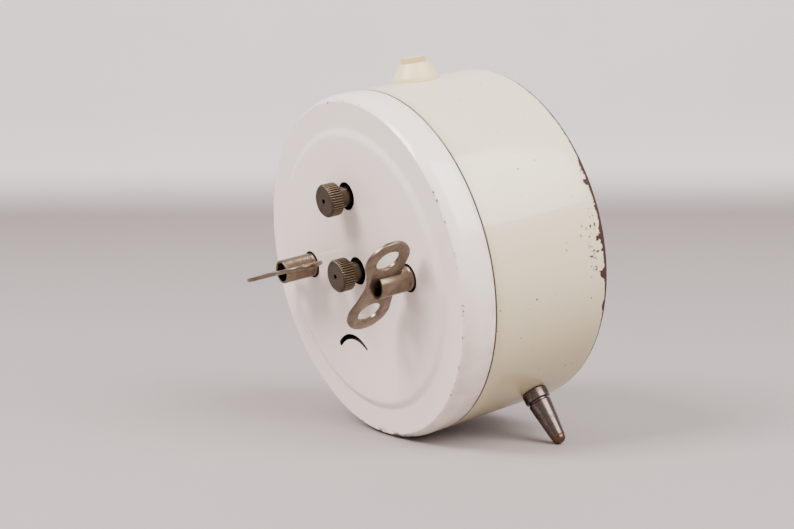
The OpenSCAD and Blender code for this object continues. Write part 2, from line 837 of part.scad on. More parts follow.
module centre_wheel() {
    color([0.78, 0.68, 0.42]) translate([0, 0, centre_wheel_z])
        wheel(centre_n, centre_m, wheel_t, bearing(centre, third_axis), pipe_r);
}

module third_arbor() {
    turn = bearing(third_axis, centre) + 180 / pinion_n;
    color([0.6, 0.6, 0.62]) at(third_axis)
        pinion_arbor(pinion_n, centre_m, pinion_t, centre_wheel_z - 0.8, turn, 0.9, 0.5);
}

module third_wheel() {
    color([0.78, 0.68, 0.42]) at(third_axis, third_wheel_z)
        wheel(third_n, third_m, wheel_t, bearing(third_axis, fourth_axis), 0.9);
}

module fourth_arbor() {
    turn = bearing(fourth_axis, third_axis) + 180 / pinion_n;
    color([0.6, 0.6, 0.62]) at(fourth_axis)
        pinion_arbor(pinion_n, third_m, pinion_t, third_wheel_z - 0.8, turn, 0.8, 0.5);
}

module fourth_wheel() {
    color([0.78, 0.68, 0.42]) at(fourth_axis, fourth_wheel_z)
        wheel(fourth_n, fourth_m, wheel_t, bearing(fourth_axis, escape_axis), 0.8);
}

module escape_arbor() {
    turn = bearing(escape_axis, fourth_axis) + 180 / pinion_n;
    color([0.6, 0.6, 0.62]) at(escape_axis)
        pinion_arbor(pinion_n, fourth_m, pinion_t, fourth_wheel_z - 0.8, turn, 0.7, 0.5);
}

// Pointed teeth, one of them aimed at the pallet arbor.
module escape_disc(turn, bore) {
    root_r = escape_r - 1.8;
    pitch = 360 / escape_n;
    difference() {
        linear_extrude(wheel_t)
            polygon([for (i = [0:escape_n - 1]) each [
                polar(root_r, turn + (i - 0.3) * pitch),
                polar(escape_r, turn + (i - 0.04) * pitch),
                polar(escape_r, turn + (i + 0.04) * pitch),
                polar(root_r, turn + (i + 0.3) * pitch)]]);
        rod(bore, -1, wheel_t + 1);
        for (i = [1:4]) rotate([0, 0, i * 90]) translate([2.4, 0, 0])
            rod(0.9, -1, wheel_t + 1);
    }
}

module escape_wheel() {
    color([0.78, 0.68, 0.42]) at(escape_axis, escape_wheel_z)
        escape_disc(bearing(escape_axis, pallet_axis), 0.7);
}

// Where the pin on side s stands, clear of the wheel's tips.
function pin_at(wheel_axis, arbor, s) = wheel_axis
    + polar(escape_r + pin_r + pin_clear, bearing(wheel_axis, arbor) + s * pin_angle);

// Outline of two arms that carry the pins, drawn about the arbor.
module pallet_outline(wheel_axis, arbor) {
    for (s = [-1, 1]) {
        pin = pin_at(wheel_axis, arbor, s) - arbor;
        rotate([0, 0, atan2(pin[1], pin[0])]) translate([0, -0.55])
            square([norm(pin), 1.1]);
        translate(pin) circle(0.8, $fn = 24);
    }
    circle(1.4, $fn = 32);
}

module pallet_pins(wheel_axis, arbor, z0, z1) {
    for (s = [-1, 1]) at(pin_at(wheel_axis, arbor, s)) rod(pin_r, z0, z1);
}

roller_r = 1.6;
impulse_at = 2.2;
fork_clear = 0.15;

module pallet_fork() {
    t = 0.6;
    arm = norm(balance_axis - pallet_axis) - impulse_at - pin_r - fork_clear;
    color([0.6, 0.6, 0.62]) {
        at(pallet_axis) {
            translate([0, 0, fork_z]) linear_extrude(t) {
                pallet_outline(escape_axis, pallet_axis);
                rotate([0, 0, bearing(pallet_axis, balance_axis)]) difference() {
                    union() {
                        translate([0, -0.5]) square([arm - 0.5, 1]);
                        translate([arm - 1.4, -1.1]) square([1.4, 2.2]);
                    }
                    translate([arm - 0.8, -0.4]) square([2, 0.8]);
                }
            }
            rod(0.8, zf + 0.2, zb - 0.2);
            rod(0.5, zf - pivot_len, zb + pivot_len);
        }
        pallet_pins(escape_axis, pallet_axis, escape_wheel_z - 0.2, fork_z + t / 2);
    }
}

// ---- Balance ----

staff_r = 0.7;
bearing_in = 2.2;

module balance_staff() {
    z0 = zf + bearing_in + 0.7;
    z1 = zb - 1.5 - 0.7;
    turn = bearing(balance_axis, pallet_axis);
    color([0.6, 0.6, 0.62]) at(balance_axis) {
        rod(staff_r, z0, z1);
        translate([0, 0, z0 - 1.1]) cylinder(r1 = 0.05, r2 = staff_r, h = 1.1);
        translate([0, 0, z1]) cylinder(r1 = staff_r, r2 = 0.05, h = 1.1);
        rod(1.1, hairspring_z - 0.3, hairspring_z + 0.8);
        translate([0, 0, fork_z + 1]) {
            cylinder(r = roller_r, h = 0.8);
            rotate([0, 0, turn]) translate([0, -0.6, 0]) cube([impulse_at + pin_r, 1.2, 0.8]);
            rotate([0, 0, turn]) translate([impulse_at, 0, -0.9]) cylinder(r = pin_r, h = 1);
        }
    }
}

balance_clear = 0.35;
balance_r = norm(balance_axis - pallet_axis) - 0.8 - balance_clear;

module balance_wheel() {
    t = 1.2;
    color([0.78, 0.68, 0.42]) at(balance_axis, balance_wheel_z) {
        tube(balance_r, balance_r - 1.6, 0, t);
        difference() {
            union() {
                for (i = [0:2]) rotate([0, 0, i * 120 + 30]) translate([0, -0.7, 0])
                    cube([balance_r - 0.8, 1.4, t]);
                rod(1.8, 0, t);
            }
            rod(staff_r, -1, t + 1);
        }
    }
}

module hairspring() {
    t = 0.18;
    stud = polar(4.7, 200);
    color([0.35, 0.4, 0.55]) at(balance_axis, hairspring_z) {
        rotate([0, 0, 200]) spiral(1.15, 4.7, t, 0.5, 10);
        at(stud) rod(0.45, 0, zb - hairspring_z);
    }
}

module balance_bearings() {
    color([0.6, 0.6, 0.62]) at(balance_axis) {
        difference() {
            rod(bearing_r, front_plate_z - 0.3, zf + bearing_in);
            translate([0, 0, zf + bearing_in - 0.6]) cylinder(r1 = 0, r2 = 0.85, h = 0.601);
        }
        difference() {
            rod(bearing_r, zb - 1.5, zo + 1);
            translate([0, 0, zb - 1.501]) cylinder(r1 = 0.85, r2 = 0, h = 0.601);
            translate([-2, -0.3, zo + 0.5]) cube([4, 0.6, 1]);
        }
    }
}

// The lever turns on the rear bearing, and its tail stands in the cover's slot.
module regulator_lever() {
    z = zo + 0.1;
    t = 0.6;
    color([0.45, 0.4, 0.35]) at(balance_axis) rotate([0, 0, regulator_angle]) {
        difference() {
            union() {
                rod(2.8, z, z + t);
                translate([0, -0.7, z]) cube([slot_r, 1.4, t]);
                translate([slot_r, 0, 0]) rod(0.5, z, disc_in - 3);
            }
            rod(bearing_r + play, z - 1, z + t + 1);
        }
    }
}

// ---- Motion work ----

module cannon_pinion() {
    turn = bearing(centre, minute_axis) + 180 / cannon_n;
    color([0.6, 0.6, 0.62]) difference() {
        union() {
            rod(cannon_r, minute_z, front_plate_z - 0.5);
            translate([0, 0, front_plate_z - 1.8])
                teeth(cannon_n, cannon_m, 1.4, turn, true);
        }
        rod(arbor_tip_r, minute_z - 1, front_plate_z);
    }
}

module minute_wheel() {
    turn = bearing(minute_axis, centre);
    z = front_plate_z - 1.5;
    color([0.78, 0.68, 0.42]) at(minute_axis) {
        translate([0, 0, z]) wheel(minute_n, cannon_m, wheel_t, turn, 0.5, 5, 0.62, 0.16);
        translate([0, 0, z - 1.5])
            teeth(minute_pinion_n, hour_m, 1.6, turn + 180 / minute_pinion_n, true);
        rod(1 - play, z, zf + 0.3);
        rod(0.6, z - 0.2, z + 1);
    }
}

hour_wheel_z = front_plate_z - 2.9;

module hour_wheel() {
    color([0.78, 0.68, 0.42]) difference() {
        union() {
            translate([0, 0, hour_wheel_z])
                wheel(hour_n, hour_m, wheel_t, bearing(centre, minute_axis), cannon_r + play,
                    5, 0.6, 0.16);
            rod(hour_pipe_r, hour_z, hour_wheel_z + wheel_t);
        }
        rod(cannon_r + play, hour_z - 1, hour_wheel_z + 3);
    }
}

module alarm_wheel() {
    turn = bearing(alarm_set_axis, centre) + 180 / hour_n;
    color([0.78, 0.68, 0.42]) at(alarm_set_axis, hour_wheel_z)
        wheel(hour_n, hour_m, wheel_t, turn, set_arbor_r + play, 5, 0.6, 0.16);
}

module alarm_set_arbor() {
    color([0.6, 0.6, 0.62]) at(alarm_set_axis) {
        rod(arbor_tip_r, alarm_hand_z - 0.3, hour_wheel_z);
        rod(set_arbor_r, dial_z + dial_t + 0.1, disc_z + knob_top - 1.4);
        rod(2.2, dial_z + dial_t + 0.05, hour_wheel_z - 0.05);
    }
}

// ---- Alarm ----

module alarm_escape_wheel() {
    turn = bearing(alarm_escape_axis, alarm_axis) + 180 / alarm_pinion_n;
    color([0.78, 0.68, 0.42]) at(alarm_escape_axis) {
        pinion_arbor(alarm_pinion_n, alarm_great_m, pinion_t, great_z - 0.6, turn, 1, 0.5);
        translate([0, 0, alarm_escape_z])
            escape_disc(bearing(alarm_escape_axis, hammer_axis), 0.5);
        rod(1.6, alarm_escape_z, alarm_escape_z + wheel_t);
    }
}

hammer_len = 11.4;
hammer_head_r = 1.8;
hammer_angle = 180;

module alarm_hammer() {
    arm_z = zo + 1;
    t = 0.8;
    color([0.6, 0.6, 0.62]) {
        pallet_pins(alarm_escape_axis, hammer_axis, alarm_escape_z - 0.2, alarm_escape_z + 2);
        at(hammer_axis, alarm_escape_z + 1.6) linear_extrude(t)
            pallet_outline(alarm_escape_axis, hammer_axis);
        at(hammer_axis) {
            rod(1.2, zf + 0.2, zb - 0.2);
            rod(0.8, zf - pivot_len, arm_z + 2);
            rod(1.6, arm_z, arm_z + 2);
            rotate([0, 0, hammer_angle]) translate([0, -0.5, arm_z + 0.5])
                cube([hammer_len, 1, 1]);
            at(polar(hammer_len, hammer_angle)) rod(hammer_head_r, arm_z - 0.6, arm_z + 2.4);
            rotate([0, 0, 62]) translate([0, -0.5, stop_z - 0.5]) cube([11, 1, 1]);
        }
    }
}

module alarm_bell() {
    color([0.66, 0.66, 0.68]) difference() {
        union() {
            translate([0, 0, bell_z]) cylinder(r = bell_r, h = bell_t, $fn = 128);
            tube(bell_r, bell_r - bell_t, bell_z - bell_rim, bell_z + bell_t);
        }
        for (p = [centre, alarm_set_axis, time_axis, alarm_axis]) at(p)
            rod(cover_hole_d / 2 + 0.6, bell_z - 1, bell_z + 2);
        for (p = bell_posts_xy) at(p) rod(1, bell_z - 1, bell_z + 2);
        at(balance_axis, bell_z - 1) linear_extrude(3)
            slot_outline(slot_w + 1.2, slot_from, slot_to);
    }
}

// Pushed down by the button's stem, its far end swings into the hammer's path.
module alarm_stop_lever() {
    stem_y = case_r - stem_end - 0.25;
    arm_y = stem_y - stop_axis[1];
    color([0.6, 0.6, 0.62]) at(stop_axis) {
        rod(1.2, zf + 0.2, zb - 0.2);
        rod(0.8, zf - pivot_len, zb + pivot_len);
        translate([0, 0, stop_z - 0.6]) linear_extrude(1.2)
            polygon([[1, -1], [1, 1], [-stop_axis[0] + 2, arm_y], [-stop_axis[0] - 2.5, arm_y],
                [-stop_axis[0] - 2.5, arm_y - 1.6], [0, -1.4]]);
    }
}

// A sprung fork under the alarm wheel: it lets the hammer go when the wheel drops.
module alarm_release_lever() {
    z = front_plate_z - 1.5;
    t = 0.5;
    color([0.5, 0.52, 0.58]) difference() {
        translate([release_axis[0] - 1.2, release_axis[1] - 2.75, z])
            cube([-release_axis[0] + 4.5, 5.5, t]);
        at(alarm_set_axis) rod(set_arbor_r + 0.6, z - 1, z + 2);
    }
    // Its rocking pin lies across the strip's end.
    color([0.5, 0.52, 0.58]) {
        at(release_axis) rod(0.9, z, zf + 3);
        translate([release_axis[0], release_axis[1] - 4, z + t / 2]) rotate([-90, 0, 0])
            cylinder(r = 0.6, h = 8);
    }
}

// ---- The clock ----

stand() {
    case();
    back_cover();
    glass();
    reflector_ring();
    dial();
    hour_hand();
    minute_hand();
    alarm_hand();
    feet();
    foot_nuts();
    alarm_button();
    button_collar();
    button_spring();
    alarm_set_knob();
    time_set_knob();
    time_key();
    alarm_key();
    regulator_lever();
    front_plate();
    back_plate();
    pillars();
    pillar_nuts();
    bell_posts();
    movement_screws();
    time_winding_arbor();
    time_ratchet_wheel();
    time_great_wheel();
    time_click();
    time_click_spring();
    time_mainspring();
    alarm_winding_arbor();
    alarm_ratchet_wheel();
    alarm_great_wheel();
    alarm_click();
    alarm_click_spring();
    alarm_mainspring();
    centre_arbor();
    centre_pinion();
    centre_wheel();
    cannon_pinion();
    minute_wheel();
    hour_wheel();
    third_arbor();
    third_wheel();
    fourth_arbor();
    fourth_wheel();
    escape_arbor();
    escape_wheel();
    pallet_fork();
    balance_staff();
    balance_wheel();
    hairspring();
    balance_bearings();
    alarm_set_arbor();
    alarm_wheel();
    alarm_escape_wheel();
    alarm_hammer();
    alarm_bell();
    alarm_stop_lever();
    alarm_release_lever();
}
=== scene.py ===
"""Looks of a wind-up alarm clock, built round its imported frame.

Lengths are in metres unless a name ends in _mm. New surfaces are worked out in the clock's own
frame: x to the right as seen from behind, y up the dial, z out of the back from the case seam.
"""

import json
import math

import bmesh
import bpy
import numpy as np
from bpy.props import FloatProperty, FloatVectorProperty, IntProperty, PointerProperty
from mathutils import Matrix, Vector


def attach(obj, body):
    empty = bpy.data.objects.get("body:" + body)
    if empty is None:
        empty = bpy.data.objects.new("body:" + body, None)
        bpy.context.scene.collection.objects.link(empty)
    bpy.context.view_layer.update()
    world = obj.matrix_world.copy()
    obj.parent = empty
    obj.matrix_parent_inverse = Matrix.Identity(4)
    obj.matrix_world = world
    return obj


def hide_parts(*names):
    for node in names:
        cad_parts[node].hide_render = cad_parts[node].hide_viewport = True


bl_info = {
    "name": "Wind-up alarm clock",
    "version": (1, 0, 0),
    "blender": (4, 5, 0),
    "location": "3D View > Sidebar > Clock",
    "description": "Builds the finished surfaces of a wind-up alarm clock round its frame",
    "category": "Object",
}

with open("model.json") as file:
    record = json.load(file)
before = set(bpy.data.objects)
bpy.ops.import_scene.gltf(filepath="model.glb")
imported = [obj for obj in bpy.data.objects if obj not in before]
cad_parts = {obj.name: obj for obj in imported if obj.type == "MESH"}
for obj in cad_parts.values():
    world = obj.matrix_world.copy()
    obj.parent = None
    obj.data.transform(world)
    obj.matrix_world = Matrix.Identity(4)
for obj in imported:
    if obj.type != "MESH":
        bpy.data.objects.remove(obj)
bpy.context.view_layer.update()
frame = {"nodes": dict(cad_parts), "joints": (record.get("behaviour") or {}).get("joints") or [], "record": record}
MM = 0.001
TAU = 2 * math.pi
MOUNTS = {m["name"]: m for m in frame["record"]["mounts"]}
JOINTS = {j["name"]: j for j in frame["joints"]}

SEAM_FROM_RIM = 39.4 * MM      # the seam's distance from the front rim
SEAM_GAP = 0.2 * MM            # open line between drum and cover
ROLL_KEPT = 0.9                # millimetres of the rolled front edge that chips cross freely
STUD_HOLE = 1.55 * MM          # radius of the drum's holes for the feet
NECK_HOLE = 4.65 * MM          # radius of the drum's hole for the button's collar
CUT_REACH = 3 * MM             # how far a cutting tool stands out on either side
SLOT_RADIUS = 10.1 * MM        # the regulator slot's distance from the balance axis
SLOT_WIDTH = 1.6 * MM
SLOT_FROM, SLOT_TO = 43, 138   # degrees
WALL = 0.8 * MM                # wall of a key's barrel
PLATE_BEVEL = 0.32 * MM
TIME_KEY_ANGLE, ALARM_KEY_ANGLE = 48.7, 11.4
DIAL_FACE = -33.5 * MM         # height of the dial's printed face
INK = 0.05 * MM                # thickness of the print
CAMERA_PLACE = (371.5, 79.6, 233.1)
CAMERA_TARGET = (1.3, -0.9, -1.8)
CAMERA_ROLL = -0.29


# ---- Properties ----


def length(name, description, default):
    """A length property whose default is given in millimetres."""
    return FloatProperty(name=name, description=description, default=default * MM, unit="LENGTH", precision=5)


def colour(name, description, default):
    """A linear colour property."""
    return FloatVectorProperty(name=name, description=description, default=default, subtype="COLOR",
                               size=3, min=0, max=1)


class CaseSettings(bpy.types.PropertyGroup):
    """The drum."""
    radius: length("Radius", "Outside radius of the drum", 50)
    depth: length("Depth", "Length of the drum from its front edge to the seam", 39.4)
    sheet: length("Sheet", "Thickness of the steel", 0.8)
    edge_radius: length("Edge radius", "Outside radius of the front edge", 1.6)
    opening_radius: length("Opening", "Radius of the opening in front of the glass", 44)
    enamel: colour("Enamel", "Cream enamel of the drum", (0.85, 0.77, 0.55))
    # Besides yellowing, this colour paints shade low on the drum.
    aged: colour("Aged enamel", "Yellowed enamel low on the drum and near the seam", (0.52, 0.43, 0.26))
    rust: colour("Rust", "Bare rusty steel where the enamel is gone", (0.026, 0.008, 0.006))


class CoverSettings(bpy.types.PropertyGroup):
    """The back cover."""
    height: length("Height", "Height of the flat ring above the seam", 9.8)
    rise: length("Rise", "Height of the raised disc above the flat ring", 1)
    disc_radius: length("Disc radius", "Radius of the raised disc", 40.4)
    shoulder: length("Shoulder", "Radius of the rounded shoulder", 6)
    crease_inset: length("Crease inset", "Case radius less the crease's radius", 1.75)
    hole_radius: length("Hole radius", "Radius of the four round holes", 4.05)
    enamel: colour("Enamel", "White enamel of the cover", (0.965, 0.845, 0.80))
    # This stain colour also paints shade low on the shoulder and the shadow of the knobs and keys round the
    # middle.
    stain: colour("Stain", "Brown stain along the lower edges", (0.42, 0.28, 0.14))


class KnobSettings(bpy.types.PropertyGroup):
    """The setting knobs."""
    radius: length("Radius", "Outside radius of a setting knob", 4.75)
    top: length("Top", "Height of a knob's face above the cover", 7.5)
    thickness: length("Thickness", "Length of the knurled part", 4.2)
    neck_radius: length("Neck radius", "Radius of the neck", 2.85)
    grooves: IntProperty(name="Grooves", description="Number of knurl grooves", default=40, min=12)
    nickel: colour("Nickel", "Tarnished nickel", (0.084, 0.066, 0.048))


class KeySettings(bpy.types.PropertyGroup):
    """The winding keys."""
    barrel_radius: length("Barrel radius", "Outside radius of the barrel", 3.5)
    barrel_top: length("Barrel top", "Height of the open end above the cover", 10.5)
    reach: length("Reach", "Distance of a lobe's centre from the axis", 10.1)
    lobe_height: length("Lobe height", "Height of the lobes' centres above the cover", 9.7)
    lobe_radius: length("Lobe radius", "Half length of a lobe", 6.7)
    waist: length("Waist", "Height of the plate's middle above the cover", 13.7)
    hole_radius: length("Hole radius", "Radius of the hole in each lobe", 3.4)
    plate: length("Plate", "Thickness of the wing plate", 1.2)
    nickel: colour("Nickel", "Satin nickel of the keys", (0.19, 0.147, 0.108))


class FootSettings(bpy.types.PropertyGroup):
    """The feet."""
    length: length("Length", "Length of a foot from the case", 17)
    angle: FloatProperty(name="Angle", description="Angle of a foot from straight down",
                         default=math.radians(35.4), subtype="ANGLE")
    back: length("Back", "Distance of the feet in front of the seam", 23.5)
    tip_radius: length("Tip radius", "Radius of the rounded tip", 2)
    collar_radius: length("Collar radius", "Radius of the collar", 3.75)
    nickel: colour("Nickel", "Dark nickel of the feet", (0.127, 0.098, 0.088))


class ButtonSettings(bpy.types.PropertyGroup):
    """The stop button and its collar."""
    back: length("Back", "Distance of the button in front of the seam", 18.2)
    radius: length("Radius", "Radius of the button", 3.65)
    top: length("Top", "Height of the button above the case", 6.7)
    collar_height: length("Collar height", "Height of the collar above the case", 4.9)
    collar_foot: length("Collar foot", "Radius of the collar at its foot", 6.9)
    collar_mouth: length("Collar mouth", "Radius of the collar at its mouth", 4.3)
    plastic: colour("Plastic", "Yellowed plastic of the button", (0.76, 0.62, 0.315))
    collar: colour("Collar", "Cream plastic of the collar", (0.93, 0.84, 0.58))


class DialSettings(bpy.types.PropertyGroup):
    """The dial's print."""
    number_circle: length("Number circle", "Radius on which the numbers stand", 34.2)
    number_size: length("Number size", "Size of the numbers", 7.6)
    minute_circle: length("Minute circle", "Radius of the minute track", 41.2)
    alarm_circle: length("Alarm circle", "Radius of the small alarm scale", 8.6)


class StageSettings(bpy.types.PropertyGroup):
    """The stage."""
    floor: colour("Floor", "Pale floor", (0.37, 0.335, 0.335))
    wall: colour("Wall", "Pale wall", (0.96, 0.89, 0.925))
    focal_mm: FloatProperty(name="Focal length", description="Camera lens in millimetres", default=70.3)


def settings(group):
    """The scene's own copy of a property group."""
    return getattr(bpy.context.scene, group)


# ---- The clock's own frame ----


def clock_frame():
    """Origin in the middle of the seam, and a matrix whose columns are the clock's x, y and z."""
    rim = MOUNTS["front_rim_face"]
    rim_point = Vector(rim["pos_m"])
    z = -Vector(rim["axis"]).normalized()
    on_axis = Vector(JOINTS["time_set"]["pos_m"])
    front = on_axis + z * (rim_point - on_axis).dot(z)
    y = (rim_point - front).normalized()
    return front + z * SEAM_FROM_RIM, Matrix((y.cross(z), y, z)).transposed()


ORIGIN, BASIS = clock_frame()


def to_clock(point):
    """A row-frame point in the clock's own frame."""
    return BASIS.transposed() @ (Vector(point) - ORIGIN)


def axis_xy(joint):
    """Where a joint's axis crosses the clock's face plane."""
    p = to_clock(JOINTS[joint]["pos_m"])
    return np.array((p.x, p.y))


# ---- Mesh building ----


def rounded(corners, steps=6):
    """A path through corners (a, b, radius): each corner becomes a round arc of that radius."""
    pts = np.array([c[:2] for c in corners], float)
    out = []
    for i, c in enumerate(corners):
        radius = c[2] if len(c) > 2 else 0
        if not radius or i in (0, len(corners) - 1):
            out.append(pts[i][None])
            continue
        to_last, to_next = pts[i - 1] - pts[i], pts[i + 1] - pts[i]
        to_last /= np.linalg.norm(to_last)
        to_next /= np.linalg.norm(to_next)
        half = math.acos(np.clip(to_last @ to_next, -1, 1)) / 2
        centre = pts[i] + (to_last + to_next) / np.linalg.norm(to_last + to_next) * radius / math.sin(half)
        start = pts[i] + to_last * radius / math.tan(half) - centre
        end = pts[i] + to_next * radius / math.tan(half) - centre
        sweep = math.acos(np.clip(start @ end / radius**2, -1, 1))
        t = np.linspace(0, 1, steps + 1)[:, None]
        out.append(centre + (np.sin((1 - t) * sweep) * start + np.sin(t * sweep) * end) / math.sin(sweep))
    return np.concatenate(out)


def arc(centre, radius, start, end, steps=16):
    """Points of an arc, angles in degrees from the first axis towards the second."""
    a = np.radians(np.linspace(start, end, steps + 1))
    return np.stack((centre[0] + radius * np.cos(a), centre[1] + radius * np.sin(a)), 1)


def finer(path, step):
    """The same path with extra points, so that no stretch is longer than step."""
    out = [path[:1]]
    for a, b in zip(path[:-1], path[1:]):
        n = max(1, math.ceil(np.linalg.norm(b - a) / step))
        out.append(a + (b - a) * (np.arange(1, n + 1) / n)[:, None])
    return np.concatenate(out)


def new_object(name, data):
    """An object in the scene's own collection."""
    obj = bpy.data.objects.new(name, data)
    bpy.context.scene.collection.objects.link(obj)
    return obj


def new_mesh(name, verts, faces, sharp=35):
    """An object from clock-frame vertices, with doubles merged, faces outwards and smooth shading."""
    mesh = bpy.data.meshes.new(name)
    world = verts @ np.array(BASIS).T + np.array(ORIGIN)
    mesh.from_pydata(world.tolist(), [], faces.tolist() if hasattr(faces, "tolist") else faces)
    bm = bmesh.new()
    bm.from_mesh(mesh)
    bmesh.ops.remove_doubles(bm, verts=bm.verts, dist=2e-7)
    bmesh.ops.dissolve_degenerate(bm, dist=1e-7, edges=bm.edges)
    bmesh.ops.recalc_face_normals(bm, faces=bm.faces)
    bm.to_mesh(mesh)
    bm.free()
    smooth(mesh, sharp)
    return new_object(name, mesh)


def smooth(mesh, sharp):
    """Smooth shading with edges sharper than the angle, in degrees, kept crisp."""
    mesh.polygons.foreach_set("use_smooth", np.ones(len(mesh.polygons), bool))
    mesh.set_sharp_from_angle(angle=math.radians(sharp))
    mesh.update()


def grid_faces(rows, columns, wrap_rows, wrap_columns):
    """Quads of a grid of points, joined round either way."""
    i = np.arange(rows if wrap_rows else rows - 1)[:, None]
    j = np.arange(columns if wrap_columns else columns - 1)[None]
    i2, j2 = (i + 1) % rows, (j + 1) % columns
    quads = np.stack((i * columns + j, i2 * columns + j, i2 * columns + j2, i * columns + j2), -1)
    return quads.reshape(-1, 4)


def lathe(name, profile, turns=192, closed=False, push=None, place=None, sharp=35):
    """Surface r(t), z(t) swept round z. push adds to the radius as a function of (angle, r, z);
    place maps the points from the lathe's own frame to the clock's."""
    angle = np.arange(turns) * TAU / turns
    r, z = profile[:, :1], profile[:, 1:2] + 0 * angle
    r = r + (push(angle[None], r, z) if push else 0) * np.ones_like(angle)
    points = np.stack((r * np.cos(angle), r * np.sin(angle), z), -1)
    if place:
        points = place(points)
    rows = len(profile)
    return new_mesh(name, points.reshape(-1, 3), grid_faces(rows, turns, closed, True), sharp)


def disc_height():
    """Height of the cover's raised disc above the seam."""
    cover = settings("clock_cover")
    return cover.height + cover.rise


def standing_at(x, y):
    """Moves a lathe's axis to (x, y) on the clock's back."""
    return lambda p: p + np.array((x, y, 0))


def cut(obj, tools, sharp=35):
    """Cuts closed tool objects out of obj, then drops the tools."""
    for tool in tools:
        modifier = obj.modifiers.new("cut", "BOOLEAN")
        modifier.object = tool
        modifier.solver = "EXACT"
    graph = bpy.context.evaluated_depsgraph_get()
    mesh = bpy.data.meshes.new_from_object(obj.evaluated_get(graph))
    obj.modifiers.clear()
    obj.data = mesh
    for tool in tools:
        bpy.data.objects.remove(tool)
    smooth(mesh, sharp)


def curve_points(curve):
    """Points and faces of a filled curve, which is then dropped."""
    holder = new_object(curve.name, curve)
    graph = bpy.context.evaluated_depsgraph_get()
    mesh = bpy.data.meshes.new_from_object(holder.evaluated_get(graph))
    points = np.empty(len(mesh.vertices) * 3)
    mesh.vertices.foreach_get("co", points)
    faces = [tuple(f.vertices) for f in mesh.polygons]
    bpy.data.objects.remove(holder)
    bpy.data.meshes.remove(mesh)
    return points.reshape(-1, 3), faces


def join(name, parts):
    """One object from several, all with their place in their meshes."""
    bm = bmesh.new()
    for part in parts:
        bm.from_mesh(part.data)
    mesh = bpy.data.meshes.new(name)
    bm.to_mesh(mesh)
    bm.free()
    for part in parts:
        bpy.data.objects.remove(part)
    return new_object(name, mesh)


def finish_piece(obj, body, slot, finish, *nodes):
    """Gives a piece its material and its body, and hides the CAD nodes it stands for."""
    obj.data.materials.clear()
    obj.data.materials.append(finish)
    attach(obj, body)
    if nodes:
        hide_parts(*nodes)
    return obj


def finish_nodes(finishes):
    """Gives every node whose slot is in finishes its material."""
    slots = {part["node"]: part["material_slot"] for part in frame["record"]["subparts"]}
    for name, node in frame["nodes"].items():
        if slots.get(name) in finishes:
            node.data.materials.clear()
            node.data.materials.append(finishes[slots[name]])


# ---- Shader building ----


class Wire:
    """A socket whose arithmetic adds Math nodes."""

    def __init__(self, paint, socket):
        self.paint = paint
        self.socket = socket

    def math(self, operation, *others):
        return self.paint.maths(operation, self, *others)

    def __add__(self, other):
        return self.math("ADD", other)

    def __sub__(self, other):
        return self.math("SUBTRACT", other)

    def __mul__(self, other):
        return self.math("MULTIPLY", other)

    def __rsub__(self, other):
        return self.paint.maths("SUBTRACT", other, self)

    __radd__ = __add__
    __rmul__ = __mul__


class Nodes:
    """Short ways to add nodes to a tree."""

    def __init__(self, tree):
        self.tree = tree

    def feed(self, socket, value):
        if isinstance(value, Wire):
            self.tree.links.new(value.socket, socket)
        elif hasattr(socket.default_value, "__len__") and not hasattr(value, "__len__"):
            socket.default_value = [value] * len(socket.default_value)
        elif hasattr(value, "__len__") and len(value) == 3 and len(socket.default_value) == 4:
            socket.default_value = (*value, 1)
        else:
            socket.default_value = value

    def node(self, kind, set_first=None, output=0, **sockets):
        """Any node: its settings first, then its sockets by name or by number as i0, i1."""
        node = self.tree.nodes.new("ShaderNode" + kind)
        for key, value in (set_first or {}).items():
            setattr(node, key, value)
        for key, value in sockets.items():
            index = int(key[1:]) if key[0] == "i" and key[1:].isdigit() else key.replace("_", " ")
            self.feed(node.inputs[index], value)
        return Wire(self, node.outputs[output])

    def maths(self, operation, *values):
        return self.node("Math", {"operation": operation}, **{f"i{k}": v for k, v in enumerate(values)})

    def position(self):
        """Object position as a vector in the clock's own frame, in millimetres."""
        coords = self.node("TexCoord", output="Object")
        return self.node("Mapping", {"vector_type": "TEXTURE"}, Vector=coords, Location=tuple(ORIGIN),
                         Rotation=tuple(BASIS.to_euler()), Scale=(MM, MM, MM))

    def split(self, vector):
        node = self.tree.nodes.new("ShaderNodeSeparateXYZ")
        self.feed(node.inputs[0], vector)
        return [Wire(self, s) for s in node.outputs]

    def noise(self, vector, scale, detail=4.0, rough=0.5, stretch=None, distort=0.0):
        """Noise from 0 to 1, with scale in features a millimetre."""
        if stretch:
            vector = self.node("Mapping", Vector=vector, Scale=stretch)
        return self.node("TexNoise", Vector=vector, Scale=scale, Detail=detail, Roughness=rough,
                         Distortion=distort)

    def step(self, value, low, high):
        """0 below low, 1 above high, smooth between."""
        return self.node("MapRange", {"interpolation_type": "SMOOTHSTEP"}, Value=value,
                         i1=min(low, high), i2=max(low, high), i3=0.0 if low < high else 1.0,
                         i4=1.0 if low < high else 0.0)

    def mix(self, share, first, second):
        return self.node("Mix", {"data_type": "RGBA"}, 2, i0=share, i6=first, i7=second)

    def bump(self, height, strength, distance_mm):
        return self.node("Bump", Height=height, Strength=strength, Distance=distance_mm * MM)


class Paint(Nodes):
    """One procedural material: a Principled shader and the nodes that feed it."""

    def __init__(self, name):
        self.material = bpy.data.materials.new(name)
        self.material.use_nodes = True
        super().__init__(self.material.node_tree)
        self.shader = self.tree.nodes["Principled BSDF"]

    def set(self, **sockets):
        """Feeds the Principled shader's sockets, named with underscores."""
        for key, value in sockets.items():
            self.feed(self.shader.inputs[key.replace("_", " ")], value)
        return self.material


def tone(rgb, factor):
    """A colour made lighter or darker."""
    return tuple(min(1.0, c * factor) for c in rgb)


